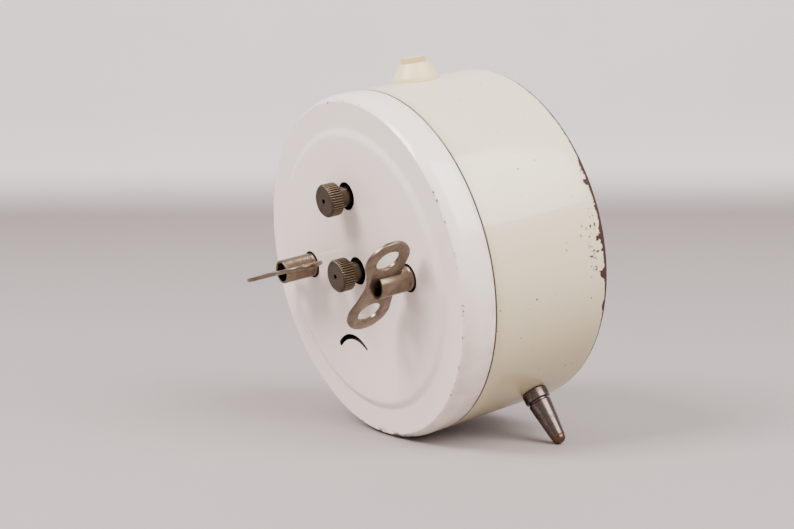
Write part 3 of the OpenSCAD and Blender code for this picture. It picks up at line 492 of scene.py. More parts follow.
def enamel(name, base, aged, chip, chips_and_shade_mask, aging_and_shade_mask, smudge=0.05):
    """Stove enamel: mottled colour, aged zones that also carry painted shade, painted shade along the seam, chips
    with a lip, faint scratches and orange peel.
    """
    p = Paint(name)
    where = p.position()
    x, y, z = p.split(where)
    mottle = p.noise(where, 0.06, 5, 0.6)
    fine = p.noise(where, 0.9, 3, 0.6)
    body = p.mix(mottle * 0.5 + fine * 0.12, base, tone(base, 1 - smudge * 2))
    body = p.mix(aging_and_shade_mask(p, where, x, y, z), body, aged)
    chips, rim = chips_and_shade_mask(p, where, x, y, z)
    # Painted shade in the seam: both surfaces turn near black within about half a millimetre of it.
    seam = p.step(z.math("ABSOLUTE") + fine * 0.12, 0.42, 0.16)
    bare = p.mix(p.noise(where, 2.2, 4, 0.7), chip, tone(chip, 2.2))
    colour_all = p.mix(rim, body, (0.30, 0.27, 0.24))
    colour_all = p.mix(chips, colour_all, bare)
    # Near-black painted seam shade.
    colour_all = p.mix(seam * 0.9, colour_all, (0.035, 0.028, 0.02))
    scratch = p.noise(where, 1.0, 2, 0.5, stretch=(0.10, 4.0, 0.6), distort=0.4)
    scratches = p.step(scratch, 0.665, 0.69)
    peel = p.noise(where, 0.55, 2, 0.5)
    height = peel * 0.10 + mottle * 0.25 - chips * 1.0 - scratches * 0.06
    rough = 0.30 + mottle * 0.10 + chips * 0.5 + scratches * 0.12
    colour_all = p.mix(scratches * 0.10, colour_all, tone(base, 0.7))
    return p.set(Base_Color=colour_all, Roughness=rough, Normal=p.bump(height, 0.35, 0.12),
                 Coat_Weight=0.7 * (1 - chips), Coat_Roughness=0.08, Specular_IOR_Level=0.5)


def radius_and_angle(p, x, y):
    """Distance from the clock's axis in millimetres and the angle round it, -pi to pi."""
    return (x * x + y * y).math("SQRT"), y.math("ARCTAN2", x)


def case_enamel():
    """Cream enamel: rusty chips crowd the front edge, most on the side; specks lie all over."""
    s = settings("clock_case")

    def aged(p, where, x, y, z):
        seam = p.step(z, -3.5, 0.5) * 0.35
        # Darker and yellower towards the bottom: yellowing plus painted shade on the downward-facing side.
        low = p.step(y, 9.0, -38.0) * 0.88
        cloud = p.noise(where, 0.03, 3, 0.5)
        return (low + seam + cloud * 0.25).math("MINIMUM", 0.9)

    def chips(p, where, x, y, z):
        front = -s.depth / MM
        ragged = p.noise(where, 0.7, 6, 0.7)
        coarse = p.noise(where, 0.16, 3, 0.6)
        side = p.step(x, 36.0, 46.0) * p.step(y, 26.0, 16.0) * p.step(y, -24.0, -6.0)
        reach = 0.9 + coarse * 0.75 + side * (0.45 + p.step(coarse, 0.47, 0.57) * 1.6)
        r, _ = radius_and_angle(p, x, y)
        rubbed = 1.2 + p.step(p.noise(where, 0.08, 3, 0.5), 0.56, 0.46) * 4.0
        inward = (s.radius / MM - ROLL_KEPT - r).math("MAXIMUM", 0) * rubbed
        depth = (z - front) + inward - reach * (0.55 + ragged * 0.9)
        edge = p.step(depth, 0.10, -0.02)
        rim_ring = p.step(depth, 0.30, 0.10)
        field = p.noise(where, 0.55, 4, 0.65)
        near = p.step(z, -30.0, -34.0) * p.step(x, 38.0, 46.0) * p.step(y, 16.0, 8.0) * p.step(y, -16.0, -8.0)
        spots = p.step(field + near * 0.10, 0.70, 0.71)
        middle = p.step(z, -4.0, -12.0) * p.step(y, 24.0, 14.0) * p.step(y, -22.0, -12.0)
        speck = p.noise(where, 1.05, 2, 0.5) + middle * 0.02
        specks = p.step(speck, 0.770, 0.785)
        chips_all = edge.math("MAXIMUM", specks * 0.75).math("MAXIMUM", spots)
        return chips_all, rim_ring.math("MAXIMUM", p.step(speck, 0.755, 0.775) * 0.5)

    return enamel("case_enamel", s.enamel, s.aged, s.rust, chips, aged)


def cover_enamel():
    """White enamel: small chips along the crease, hole and slot walls near black as bare steel with painted shade,
    brown stains by the seam, brown stain with painted shade low on the shoulder, and painted shadow of the knobs
    and keys with dirt round the middle.
    """
    s = settings("clock_cover")
    case = settings("clock_case")
    crease = (case.radius - s.crease_inset) / MM

    def aged(p, where, x, y, z):
        r, _ = radius_and_angle(p, x, y)
        cloud = p.noise(where, 0.18, 4, 0.6)
        # Brown stain low on the shoulder, which also paints the shade on its downward-facing part.
        low_shoulder_stain_and_shade = p.step(r, crease - 0.2, crease + 0.9) * p.step(y, 6.0, -34.0)
        low_shoulder_stain_and_shade = low_shoulder_stain_and_shade * (0.45 + p.step(cloud, 0.35, 0.7) * 0.55)
        seam = p.step(z, 2.2, 0.3) * p.step(cloud, 0.4, 0.75) * 0.6
        grime = p.step(p.noise(where, 0.35, 5, 0.65), 0.62, 0.8) * 0.25
        # Darker towards the middle: painted shadow of the knobs and keys, plus dirt.
        hub_shadow_and_dirt = p.step(r + cloud * 6.0, 36.0, 12.0) * 0.30
        return (low_shoulder_stain_and_shade * 0.42 + seam * 0.5 + grime * 0.25 + hub_shadow_and_dirt).math("MINIMUM", 0.8)

    def chips(p, where, x, y, z):
        r, _ = radius_and_angle(p, x, y)
        line = (r - crease).math("ABSOLUTE")
        ragged = p.noise(where, 0.55, 5, 0.7)
        worn = p.step(ragged, 0.60, 0.64) * p.step(line, 0.55, 0.15) * p.step(z, 9.0, 9.4)
        speck = p.noise(where, 0.7, 2, 0.5)
        specks = p.step(speck, 0.785, 0.80)
        face = (s.height + s.rise) / MM
        disc = s.disc_radius / MM
        # The hole and slot walls and the underside within the disc go near black: bare steel plus painted shade
        # inside the openings.
        bare_shaded_hole_walls = p.step(z, face - 0.06, face - 0.14) * p.step(r, disc - 3.5, disc - 4.5)
        scuffs = p.step(ragged, 0.52, 0.57) * p.step(y, -46.6, -48.6) * p.step(z, 2.0, 4.0)
        bare = worn.math("MAXIMUM", specks * 0.7).math("MAXIMUM", bare_shaded_hole_walls).math("MAXIMUM", scuffs)
        return bare, p.step(line, 0.35, 0.05) * p.step(ragged, 0.52, 0.6) * 0.4

    return enamel("cover_enamel", s.enamel, s.stain, (0.03, 0.022, 0.016), chips, aged, smudge=0.03)


def plated(name, base, rough, tarnish, brush=(1, 1, 1), grime=(0.05, 0.035, 0.025), wear=None):
    """Old nickel plate: cloudy tarnish, fine brush lines, pits and grime."""
    p = Paint(name)
    where = p.position()
    cloud = p.noise(where, 0.35, 5, 0.62)
    lines = p.noise(where, 3.0, 3, 0.6, stretch=brush)
    pits = p.step(p.noise(where, 2.4, 3, 0.6), 0.70, 0.76)
    spots = p.step(cloud, 0.44, 0.66)
    tint = p.mix(spots * tarnish, base, tone(base, 0.40))
    tint = p.mix(lines * 0.35, tint, tone(base, 1.5))
    tint = p.mix(pits * 0.7, tint, grime)
    if wear:
        tint = p.mix(wear(p, where), tint, grime)
    height = lines * 0.4 + cloud * 0.3 - pits * 0.8
    return p.set(Base_Color=tint, Metallic=1.0, Roughness=rough + spots * 0.16 + lines * 0.08 + pits * 0.2,
                 Normal=p.bump(height, 0.25, 0.03))


def turned(name, base, axis_point, rough, rings, knurl, tarnish=0.3):
    """Turned metal: fine rings round an axis that runs out of the clock's back, with painted shade and grime in
    the knurl grooves, painted shade in the centre hole and a painted highlight on the crests.
    """
    p = Paint(name)
    where = p.position()
    x, y, z = p.split(where)
    r, _ = radius_and_angle(p, x - axis_point[0] / MM, y - axis_point[1] / MM)
    groove = (r * rings + z * rings).math("SINE") * 0.5 + 0.5
    cloud = p.noise(where, 0.4, 5, 0.62)
    fine = p.noise(where, 4.0, 2, 0.5)
    spots = p.step(cloud, 0.48, 0.75)
    tint = p.mix(spots * tarnish, base, tone(base, 0.5))
    tint = p.mix(fine * 0.2, tint, tone(base, 1.3))
    floor, crest, low, high = knurl
    # Painted shade and grime in the knurl grooves: near black between the ridges.
    grooves = p.step(r, crest, floor) * p.step(z, low - 0.1, low) * p.step(z, high + 0.05, high - 0.1)
    tint = p.mix(grooves * 0.85, tint, (0.035, 0.025, 0.018))
    # Painted highlight round the outer crests and rims of the knob.
    tint = p.mix(p.step(r, crest - 0.02, crest + 0.06) * 0.5, tint, tone(base, 3.0))
    # Painted shade in the small hole at the middle of the face.
    tint = p.mix(p.step(r, 0.85, 0.6) * 0.9, tint, (0.01, 0.008, 0.006))
    return p.set(Base_Color=tint, Metallic=1.0, Roughness=rough + spots * 0.15 + fine * 0.06,
                 Normal=p.bump(groove * 0.6 + fine * 0.4, 0.18, 0.02))


def plastic(name, base, aged, aged_from, rough=0.3):
    """Old moulded plastic: yellowing on one side, fine scuffs and a soft glow."""
    p = Paint(name)
    where = p.position()
    x, y, z = p.split(where)
    cloud = p.noise(where, 0.25, 4, 0.6)
    scuff = p.step(p.noise(where, 2.0, 3, 0.6, stretch=(0.4, 3.0, 1.0)), 0.62, 0.7)
    yellow = p.step(x + cloud * 6.0, *aged_from)
    tint = p.mix(yellow * 0.8, base, aged)
    tint = p.mix(scuff * 0.15, tint, tone(base, 0.6))
    return p.set(Base_Color=tint, Roughness=rough + scuff * 0.2 + cloud * 0.08,
                 Normal=p.bump(cloud * 0.5 + scuff * 0.3, 0.15, 0.05),
                 Subsurface_Weight=0.15, Subsurface_Radius=(0.002, 0.0014, 0.0008))


def brass(name, base=(0.62, 0.44, 0.19), rough=0.32, scale=1.0):
    """Rolled or stamped brass: grain, tarnish clouds and small stains."""
    p = Paint(name)
    where = p.position()
    grain = p.noise(where, 2.0 * scale, 3, 0.6, stretch=(0.15, 2.5, 1.0))
    cloud = p.noise(where, 0.12 * scale, 5, 0.6)
    stain = p.step(p.noise(where, 0.5, 4, 0.6), 0.62, 0.75)
    tint = p.mix(cloud * 0.5, base, tone(base, 0.55))
    tint = p.mix(stain * 0.35, tint, (0.16, 0.09, 0.03))
    tint = p.mix(grain * 0.2, tint, tone(base, 1.3))
    return p.set(Base_Color=tint, Metallic=1.0, Roughness=rough + cloud * 0.15 + stain * 0.2,
                 Normal=p.bump(grain, 0.15, 0.03))


# ---- Case and cover ----


def case_surface():
    """The drum: a rolled front edge, a long wall and a turned-in lip round the glass, swept round z."""
    s = settings("clock_case")
    r, t, d = s.radius, s.sheet, s.depth
    inner = s.edge_radius - t * 0.9
    loop = rounded([(r - t / 2, 0), (r, 0, 0.25 * MM), (r, -d, s.edge_radius),
                    (s.opening_radius, -d, 0.35 * MM), (s.opening_radius, -d + t, 0.35 * MM),
                    (r - t, -d + t, inner), (r - t, 0, 0.2 * MM), (r - t / 2, 0)], 8)
    return lathe("case_drum", finer(loop, 3 * MM), 360, closed=True)


def radial_frame(angle, z):
    """Maps a lathe whose axis leaves the drum at an angle from straight up, clockwise from behind."""
    out = np.array((math.sin(angle), math.cos(angle), 0))
    side = np.array((math.cos(angle), -math.sin(angle), 0))
    back = np.array((0, 0, 1))
    foot = out * settings("clock_case").radius + back * z
    return lambda p: foot + p[..., :1] * side + p[..., 1:2] * back + p[..., 2:] * out


def cover_surface():
    """The cover: raised disc, soft step, flat ring, crisp crease and round shoulder, swept round z."""
    s = settings("clock_cover")
    case = settings("clock_case")
    r, t = case.radius, case.sheet
    top, disc = s.height, s.height + s.rise
    crease = r - s.crease_inset
    centre_r = r - s.shoulder
    centre_z = top - math.sqrt(s.shoulder**2 - (crease - centre_r) ** 2)
    fall = math.degrees(math.asin((top - centre_z) / s.shoulder))
    step = s.disc_radius
    dish = rounded([(0, disc), (step - 1.5 * MM, disc, 3.2 * MM), (step + 0.5 * MM, top, 2.0 * MM),
                    (crease - 0.05 * MM, top)], 10)
    shoulder = arc((centre_r, centre_z), s.shoulder, fall - 1.5, 0, 28)
    edge = rounded([(r, centre_z - 0.2 * MM), (r, SEAM_GAP, 0.3 * MM), (r - t, SEAM_GAP, 0.2 * MM),
                    (r - t, centre_z)], 5)
    inside = np.concatenate((arc((centre_r, centre_z), s.shoulder - t, 2, fall, 12),
                             [(crease, top - t), (step, top - t), (step - 1.6 * MM, disc - t),
                              (0, disc - t)]))
    profile = np.concatenate((dish, shoulder, edge, inside))
    return lathe("back_cover_shell", finer(profile, 2.5 * MM), 360, sharp=28)


def slot_tool(centre, low, high):
    """A closed prism: an arc-shaped slot, thin at its start, full and round at its end."""
    t = np.linspace(0, 1, 41)
    full = np.sin(np.clip(t * 1.7, 0, 1) * math.pi / 2)
    half = SLOT_WIDTH / 2 * (0.6 + 0.4 * full) * np.sqrt(1 - np.clip((t - 0.93) / 0.0701, 0, 1) ** 2)
    a = np.radians(SLOT_FROM + (SLOT_TO - SLOT_FROM) * t)
    half = np.maximum(half, 0.02 * MM)
    outer = (SLOT_RADIUS + half)[:, None] * np.stack((np.cos(a), np.sin(a)), 1)
    inner = (SLOT_RADIUS - half)[:, None] * np.stack((np.cos(a), np.sin(a)), 1)
    loop = np.concatenate((outer, inner[::-1])) + centre
    n = len(loop)
    verts = np.concatenate([np.column_stack((loop, np.full(n, z))) for z in (low, high)])
    sides = [(i, (i + 1) % n, (i + 1) % n + n, i + n) for i in range(n)]
    strips = [(i, i + 1, n - 2 - i, n - 1 - i) for i in range(n // 2 - 1)]
    caps = strips + [tuple(k + n for k in f) for f in strips]
    return new_mesh("slot_tool", verts, sides + caps)


def rod_tool(radius, middle, turns, place):
    """A closed cylinder that cuts a hole along its own z."""
    low, high = middle - CUT_REACH, middle + CUT_REACH
    profile = np.array([(0, low), (radius, low), (radius, high), (0, high)])
    return lathe("hole_tool", profile, turns, place=place)


class CLOCK_OT_case(bpy.types.Operator):
    """Builds the enamelled drum."""
    bl_idname = "clock.case"
    bl_label = "Case drum"

    def execute(self, context):
        feet = settings("clock_feet")
        drum = case_surface()
        tools = []
        for side in (-1, 1):
            place = radial_frame(math.pi + side * feet.angle, -feet.back)
            tools.append(rod_tool(STUD_HOLE, 0, 32, place))
        tools.append(rod_tool(NECK_HOLE, 0, 48, radial_frame(0, -settings("clock_button").back)))
        cut(drum, tools)
        finish_piece(drum, "clock", "case_paint", case_enamel(), "case")
        return {"FINISHED"}


class CLOCK_OT_cover(bpy.types.Operator):
    """Builds the pressed back cover with its holes and regulator slot."""
    bl_idname = "clock.cover"
    bl_label = "Back cover"

    def execute(self, context):
        s = settings("clock_cover")
        shell = cover_surface()
        top = disc_height()
        tools = [rod_tool(s.hole_radius, top, 96, standing_at(*axis_xy(j)))
                 for j in ("time_set", "alarm_set", "time_great_wheel_spin", "alarm_great_wheel_spin")]
        tools.append(slot_tool(axis_xy("balance_swing"), top - CUT_REACH, top + CUT_REACH))
        cut(shell, tools, sharp=28)
        finish_piece(shell, "clock", "cover_paint", cover_enamel(), "back_cover")
        return {"FINISHED"}


# ---- Knobs ----


def knob_surface(name, x, y):
    """A turned knob: r(t), z(t) swept round its axis, less a rounded saw wave round the knurl."""
    s = settings("clock_knobs")
    base = disc_height()
    top, low, r = base + s.top, base + s.top - s.thickness, s.radius
    profile = rounded([(0, top - 1.4 * MM), (0.62 * MM, top - 1.4 * MM), (0.62 * MM, top, 0.08 * MM),
                       (r - 0.55 * MM, top, 0.12 * MM), (r, top - 0.55 * MM, 0.12 * MM),
                       (r, low + 0.45 * MM, 0.12 * MM), (r - 0.5 * MM, low, 0.12 * MM),
                       (s.neck_radius, low, 0.25 * MM), (s.neck_radius, base - 4.8 * MM),
                       (0, base - 4.8 * MM)], 3)
    profile = finer(profile, 0.45 * MM)

    def knurl(angle, rr, z):
        wave = np.clip(np.cos(angle * s.grooves) * 1.6 + 0.35, -1, 1)
        inside = np.clip((rr - (r - 0.5 * MM)) / (0.45 * MM), 0, 1) * (z > low - 0.1 * MM)
        return -0.34 * MM * (0.5 - wave / 2) * inside

    return lathe(name, profile, s.grooves * 10, push=knurl, place=standing_at(x, y), sharp=50)


class CLOCK_OT_knobs(bpy.types.Operator):
    """Builds the alarm-set and time-set knobs."""
    bl_idname = "clock.knobs"
    bl_label = "Setting knobs"

    def execute(self, context):
        s = settings("clock_knobs")
        face = (disc_height() + s.top) / MM
        crest = s.radius / MM
        # Bounds of the painted shade and grime in the knurl grooves: floor, crest, low and high.
        knurl = (crest - 0.32, crest - 0.08, face - s.thickness / MM, face - 0.5)
        for node, joint, body in (("time_set_knob", "time_set", "hand_setting"),
                                  ("alarm_set_knob", "alarm_set", "alarm_setting")):
            x, y = axis_xy(joint)
            knob = knob_surface(node + "_turned", x, y)
            finish = turned(node + "_nickel", s.nickel, (x, y), rough=0.27, rings=9.0, knurl=knurl)
            finish_piece(knob, body, "knob_nickel", finish, node)
        return {"FINISHED"}


# ---- Keys ----


def spline_loop(points, per=10):
    """A closed smooth curve through the points: a Catmull-Rom cubic between each pair."""
    p = np.asarray(points, float)
    before, after, beyond = np.roll(p, 1, 0), np.roll(p, -1, 0), np.roll(p, -2, 0)
    t = (np.arange(per) / per)[None, :, None]
    a, b, c, d = before[:, None], p[:, None], after[:, None], beyond[:, None]
    curve = 0.5 * (2 * b + (c - a) * t + (2 * a - 5 * b + 4 * c - d) * t**2 + (3 * b - a - 3 * c + d) * t**3)
    return curve.reshape(-1, 2)


def plate_mesh(name, loops, thickness, place):
    """A flat plate with round edges: the first loop is its outline and the others are holes."""
    curve = bpy.data.curves.new(name, "CURVE")
    curve.dimensions = "2D"
    curve.fill_mode = "BOTH"
    curve.extrude = thickness / 2 - PLATE_BEVEL
    curve.bevel_depth = PLATE_BEVEL
    curve.bevel_resolution = 3
    curve.offset = -PLATE_BEVEL
    for loop in loops:
        spline = curve.splines.new("POLY")
        spline.points.add(len(loop) - 1)
        flat = np.column_stack((loop, np.zeros(len(loop)), np.ones(len(loop))))
        spline.points.foreach_set("co", flat.ravel())
        spline.use_cyclic_u = True
    points, faces = curve_points(curve)
    return new_mesh(name, place(points), faces, 50)


def key_surface(name, x, y, angle, bend):
    """A barrel and a butterfly plate whose wing tips bend by a cubic of their reach."""
    s = settings("clock_keys")
    base = disc_height()
    rb, slot_low = s.barrel_radius, 2.6 * MM
    end = base + s.barrel_top
    tube = rounded([(0, base - 4.4 * MM), (rb, base - 4.4 * MM), (rb, base + 0.6 * MM, 0.1 * MM),
                    (rb - 0.25 * MM, base + 0.8 * MM, 0.1 * MM), (rb - 0.25 * MM, base + 1.2 * MM, 0.1 * MM),
                    (rb, base + 1.4 * MM, 0.1 * MM), (rb, end, 0.22 * MM), (rb - WALL, end, 0.2 * MM),
                    (rb - WALL, base + 6.2 * MM, 0.2 * MM), (0, base + 6.2 * MM)], 4)
    barrel = lathe(name + "_barrel", tube, 96, place=standing_at(x, y))
    reach, high, lobe = s.reach, s.lobe_height, s.lobe_radius
    ring = arc((reach, high), lobe, 112, -98, 26)
    right = np.concatenate(([(0, s.waist)], [(reach * 0.42, s.waist + 0.9 * MM)], ring,
                            [(rb + 1.6 * MM, high - lobe + 0.5 * MM), (rb + 0.3 * MM, slot_low + 0.8 * MM),
                             (rb * 0.6, slot_low), (0, slot_low)]))
    outline = np.concatenate((right, right[-2:0:-1] * (-1, 1)))
    circle = arc((0, 0), s.hole_radius, 0, 351, 39)
    holes = [circle * (1.0, 1.04) + (side * reach, high) for side in (-1, 1)]
    along = np.array((math.cos(angle), math.sin(angle), 0))
    across = np.array((-math.sin(angle), math.cos(angle), 0))
    up = np.array((0, 0, 1))

    def place(p):
        side = p[:, :1]
        sway = bend * np.sign(side) * (np.abs(side) / (reach + lobe)) ** 3
        return np.array((x, y, base)) + side * along + p[:, 1:2] * up + (p[:, 2:] + sway) * across

    plate = plate_mesh(name + "_plate", [spline_loop(outline, 4)] + holes, s.plate, place)
    key = join(name, [barrel, plate])
    smooth(key.data, 50)
    return key


class CLOCK_OT_keys(bpy.types.Operator):
    """Builds the two butterfly winding keys."""
    bl_idname = "clock.keys"
    bl_label = "Winding keys"

    def execute(self, context):
        s = settings("clock_keys")
        for node, joint, body, angle, bend in (
                ("time_key", "time_great_wheel_spin", "time_winder", TIME_KEY_ANGLE, 0.0),
                ("alarm_key", "alarm_great_wheel_spin", "alarm_winder", ALARM_KEY_ANGLE, -0.35 * MM)):
            x, y = axis_xy(joint)
            key = key_surface(node + "_stamped", x, y, math.radians(angle), bend)
            finish = plated(node + "_nickel", s.nickel, rough=0.24, tarnish=0.55, brush=(0.5, 0.5, 4.0))
            finish_piece(key, body, "key_nickel", finish, node)
        return {"FINISHED"}


# ---- Feet ----


def foot_profile():
    """Collar, groove, long taper and a ringed round tip, as (r, height) from the case."""
    s = settings("clock_feet")
    rc, rt, end = s.collar_radius, s.tip_radius, s.length
    ball = arc((0, end - rt), rt, 12, 90, 10)
    return np.concatenate((
        rounded([(0, -0.1 * MM), (rc - 0.5 * MM, -0.1 * MM), (rc, 0.35 * MM, 0.15 * MM),
                 (rc, 3.1 * MM, 0.3 * MM), (rc - 0.75 * MM, 3.3 * MM, 0.12 * MM),
                 (rc - 0.75 * MM, 3.75 * MM, 0.12 * MM), (rc - 0.35 * MM, 4.0 * MM, 0.15 * MM),
                 (rt + 0.16 * MM, end - 2.4 * MM, 0.3 * MM), (rt - 0.02 * MM, end - 2.0 * MM)], 4), ball))


class CLOCK_OT_feet(bpy.types.Operator):
    """Builds the two turned feet."""
    bl_idname = "clock.feet"
    bl_label = "Feet"

    def execute(self, context):
        s = settings("clock_feet")
        parts = []
        for side in (-1, 1):
            place = radial_frame(math.pi + side * s.angle, -s.back)
            parts.append(lathe("foot", finer(foot_profile(), 1.2 * MM), 96, place=place))
        feet = join("turned_feet", parts)
        smooth(feet.data, 40)

        def tip(p, where):
            x, y, _ = p.split(where)
            r, _ = radius_and_angle(p, x, y)
            reach = (settings("clock_case").radius + s.length) / MM
            return p.step(r + p.noise(where, 0.6, 4, 0.6) * 1.2, reach - 3.2, reach - 1.2) * 0.75

        finish = plated("foot_nickel", s.nickel, rough=0.16, tarnish=0.45,
                        grime=(0.16, 0.085, 0.045), wear=tip)
        finish_piece(feet, "clock", "foot_nickel", finish, "feet")
        return {"FINISHED"}


# ---- Button ----


class CLOCK_OT_button(bpy.types.Operator):
    """Builds the alarm stop button and its flared collar."""
    bl_idname = "clock.button"
    bl_label = "Stop button"

    def execute(self, context):
        s = settings("clock_button")
        r = settings("clock_case").radius
        place = radial_frame(0, -s.back)
        bore = s.radius + 0.05 * MM
        mouth, rim, neck = s.collar_mouth, s.collar_foot, 4.5 * MM
        flare = [(bore, -2.2 * MM), (bore, s.collar_height, 0.2 * MM), (mouth, s.collar_height, 0.35 * MM),
                 (rim - 0.25 * MM, 1.0 * MM, 0.5 * MM), (rim, 0.0, 0.15 * MM),
                 (rim - 0.4 * MM, -0.05 * MM), (neck, -0.3 * MM), (neck, -2.2 * MM)]

        def seat(p):
            drop = np.sqrt(r**2 - p[..., 0] ** 2) - r
            share = np.clip(1 - p[..., 2] / (2.6 * MM), 0, 1)
            p = p.copy()
            p[..., 2] += drop * share
            return place(p)

        collar = lathe("flared_collar", finer(rounded(flare, 6), 0.8 * MM), 128, closed=True, place=seat)
        finish = plastic("collar_plastic", s.collar, tone(s.plastic, 1.05), (-6.0, 10.0), rough=0.34)
        finish_piece(collar, "clock", "collar_plastic", finish, "button_collar")
        cap = rounded([(0, s.top), (s.radius, s.top, 0.35 * MM), (s.radius, 1.2 * MM, 0.2 * MM),
                       (1.2 * MM, 1.1 * MM), (1.2 * MM, -9 * MM), (0, -9 * MM)], 6)
        button = lathe("stop_button_cap", finer(cap, 0.8 * MM), 96, place=place)
        finish = plastic("button_plastic", s.plastic, tone(s.plastic, 0.8), (-2.0, 8.0), rough=0.26)
        finish_piece(button, "stop_button", "button_plastic", finish, "alarm_button")
        return {"FINISHED"}


# ---- Front ----


def printed(points):
    """Maps x right, y up and z towards the reader, as seen from the front, onto the dial."""
    return points * (-1, 1, -1) + (0, 0, DIAL_FACE)


def number_piece(text, size, x, y):
    """A raised number of the print, centred on (x, y) as seen from the front."""
    curve = bpy.data.curves.new("number", "FONT")
    curve.body = text
    curve.size = size
    curve.align_x = "CENTER"
    curve.align_y = "CENTER"
    curve.extrude = INK / 2
    curve.resolution_u = 6
    points, faces = curve_points(curve)
    middle = (points.min(0) + points.max(0)) / 2
    return new_mesh("number", printed(points - middle + (x, y, INK / 2)), faces, 40)


BOX_FACES = np.array(((0, 1, 3, 2), (4, 6, 7, 5), (0, 4, 5, 1), (2, 3, 7, 6), (0, 2, 6, 4), (1, 5, 7, 3)))


def ticks_piece(count, inner, outer, width, every, wide, x=0.0, y=0.0):
    """Marks round a circle: a box in (along, across, up) turned to each angle, wider at every so many."""
    i = np.arange(count)
    across = np.where(i % every == 0, wide, width) / 2
    a = i * TAU / count
    corner = np.array([(r, s, z) for r in (inner, outer) for s in (-1, 1) for z in (0, INK)])
    along, side, up = corner[None, :, 0], corner[None, :, 1] * across[:, None], corner[None, :, 2]
    points = np.stack((along * np.sin(a)[:, None] + side * np.cos(a)[:, None] + x,
                       along * np.cos(a)[:, None] - side * np.sin(a)[:, None] + y, up + 0 * side), -1)
    faces = (BOX_FACES[None] + 8 * i[:, None, None]).reshape(-1, 4)
    return new_mesh("ticks", printed(points.reshape(-1, 3)), faces, 40)


def ring_piece(inner, outer, x=0.0, y=0.0):
    """A thin printed circle."""
    loop = np.array(((inner, 0), (outer, 0), (outer, INK), (inner, INK)))
    return lathe("ring", loop, 180, closed=True, place=lambda p: printed(p + (x, y, 0)))


def ink():
    """Black printing ink: worn a little thin in places, semi-matt."""
    p = Paint("dial_ink")
    where = p.position()
    thin = p.step(p.noise(where, 1.6, 4, 0.65), 0.55, 0.75)
    tint = p.mix(thin * 0.35, (0.012, 0.011, 0.010), (0.09, 0.08, 0.065))
    return p.set(Base_Color=tint, Roughness=0.45 + thin * 0.2, Normal=p.bump(thin, 0.2, 0.02))


def dial_paint():
    """Cream dial paint: yellowed towards the rim, with fine mottling and foxing spots."""
    p = Paint("dial_paint")
    where = p.position()
    x, y, z = p.split(where)
    r, _ = radius_and_angle(p, x, y)
    cloud = p.noise(where, 0.09, 5, 0.6)
    fox = p.step(p.noise(where, 0.6, 4, 0.6), 0.70, 0.76)
    tint = p.mix(p.step(r + cloud * 8.0, 34.0, 48.0) * 0.7, (0.80, 0.76, 0.65), (0.62, 0.52, 0.34))
    tint = p.mix(cloud * 0.25, tint, (0.70, 0.63, 0.48))
    tint = p.mix(fox * 0.25, tint, (0.35, 0.22, 0.10))
    return p.set(Base_Color=tint, Roughness=0.48 + cloud * 0.12, Normal=p.bump(cloud + fox * 0.2, 0.12, 0.05))


def hand_paint():
    """Black japanned hands: glossy, with dust and rubbed spots."""
    p = Paint("hand_black")
    where = p.position()
    dust = p.step(p.noise(where, 1.2, 4, 0.6), 0.58, 0.72)
    tint = p.mix(dust * 0.35, (0.010, 0.010, 0.011), (0.10, 0.09, 0.08))
    return p.set(Base_Color=tint, Roughness=0.22 + dust * 0.3, Normal=p.bump(dust, 0.15, 0.02),
                 Coat_Weight=0.3 - dust * 0.2)


def glass_finish():
    """Flat clear glass: a faint mirror over the dial, with light smears and dust."""
    p = Paint("clear_glass")
    where = p.position()
    smear = p.noise(where, 0.12, 4, 0.6, stretch=(1.0, 0.25, 1.0))
    dust = p.step(p.noise(where, 2.0, 3, 0.6), 0.70, 0.78)
    return p.set(Base_Color=p.mix(dust, (0.93, 0.95, 0.94), (0.7, 0.68, 0.62)),
                 Roughness=0.015 + smear * 0.03 + dust * 0.2, Alpha=0.05 + dust * 0.08 + smear * 0.02,
                 Metallic=1.0)


class CLOCK_OT_front(bpy.types.Operator):
    """Prints the dial and finishes the hands and the glass."""
    bl_idname = "clock.front"
    bl_label = "Dial, hands and glass"

    def execute(self, context):
        s = settings("clock_dial")
        alarm = axis_xy("alarm_set") * (-1, 1)
        pieces = []
        for hour in range(1, 13):
            a = hour * TAU / 12
            pieces.append(number_piece(str(hour), s.number_size, s.number_circle * math.sin(a),
                                       s.number_circle * math.cos(a)))
            if hour % 3 == 0:
                x, y = alarm + s.alarm_circle * 0.70 * np.array((math.sin(a), math.cos(a)))
                pieces.append(number_piece(str(hour), s.number_size * 0.28, x, y))
        track = s.minute_circle
        pieces.append(ticks_piece(60, track - 1.9 * MM, track, 0.28 * MM, 5, 0.9 * MM))
        pieces.append(ring_piece(track, track + 0.25 * MM))
        ring = s.alarm_circle
        pieces.append(ticks_piece(48, ring - 0.9 * MM, ring, 0.12 * MM, 4, 0.3 * MM, *alarm))
        pieces.append(ring_piece(ring, ring + 0.15 * MM, *alarm))
        finish_piece(join("dial_print", pieces), "clock", "hand_black", ink())
        finishes = {"dial_paint": dial_paint(), "hand_black": hand_paint(), "clear_glass": glass_finish()}
        finish_nodes(finishes)
        return {"FINISHED"}


# ---- Stage ----


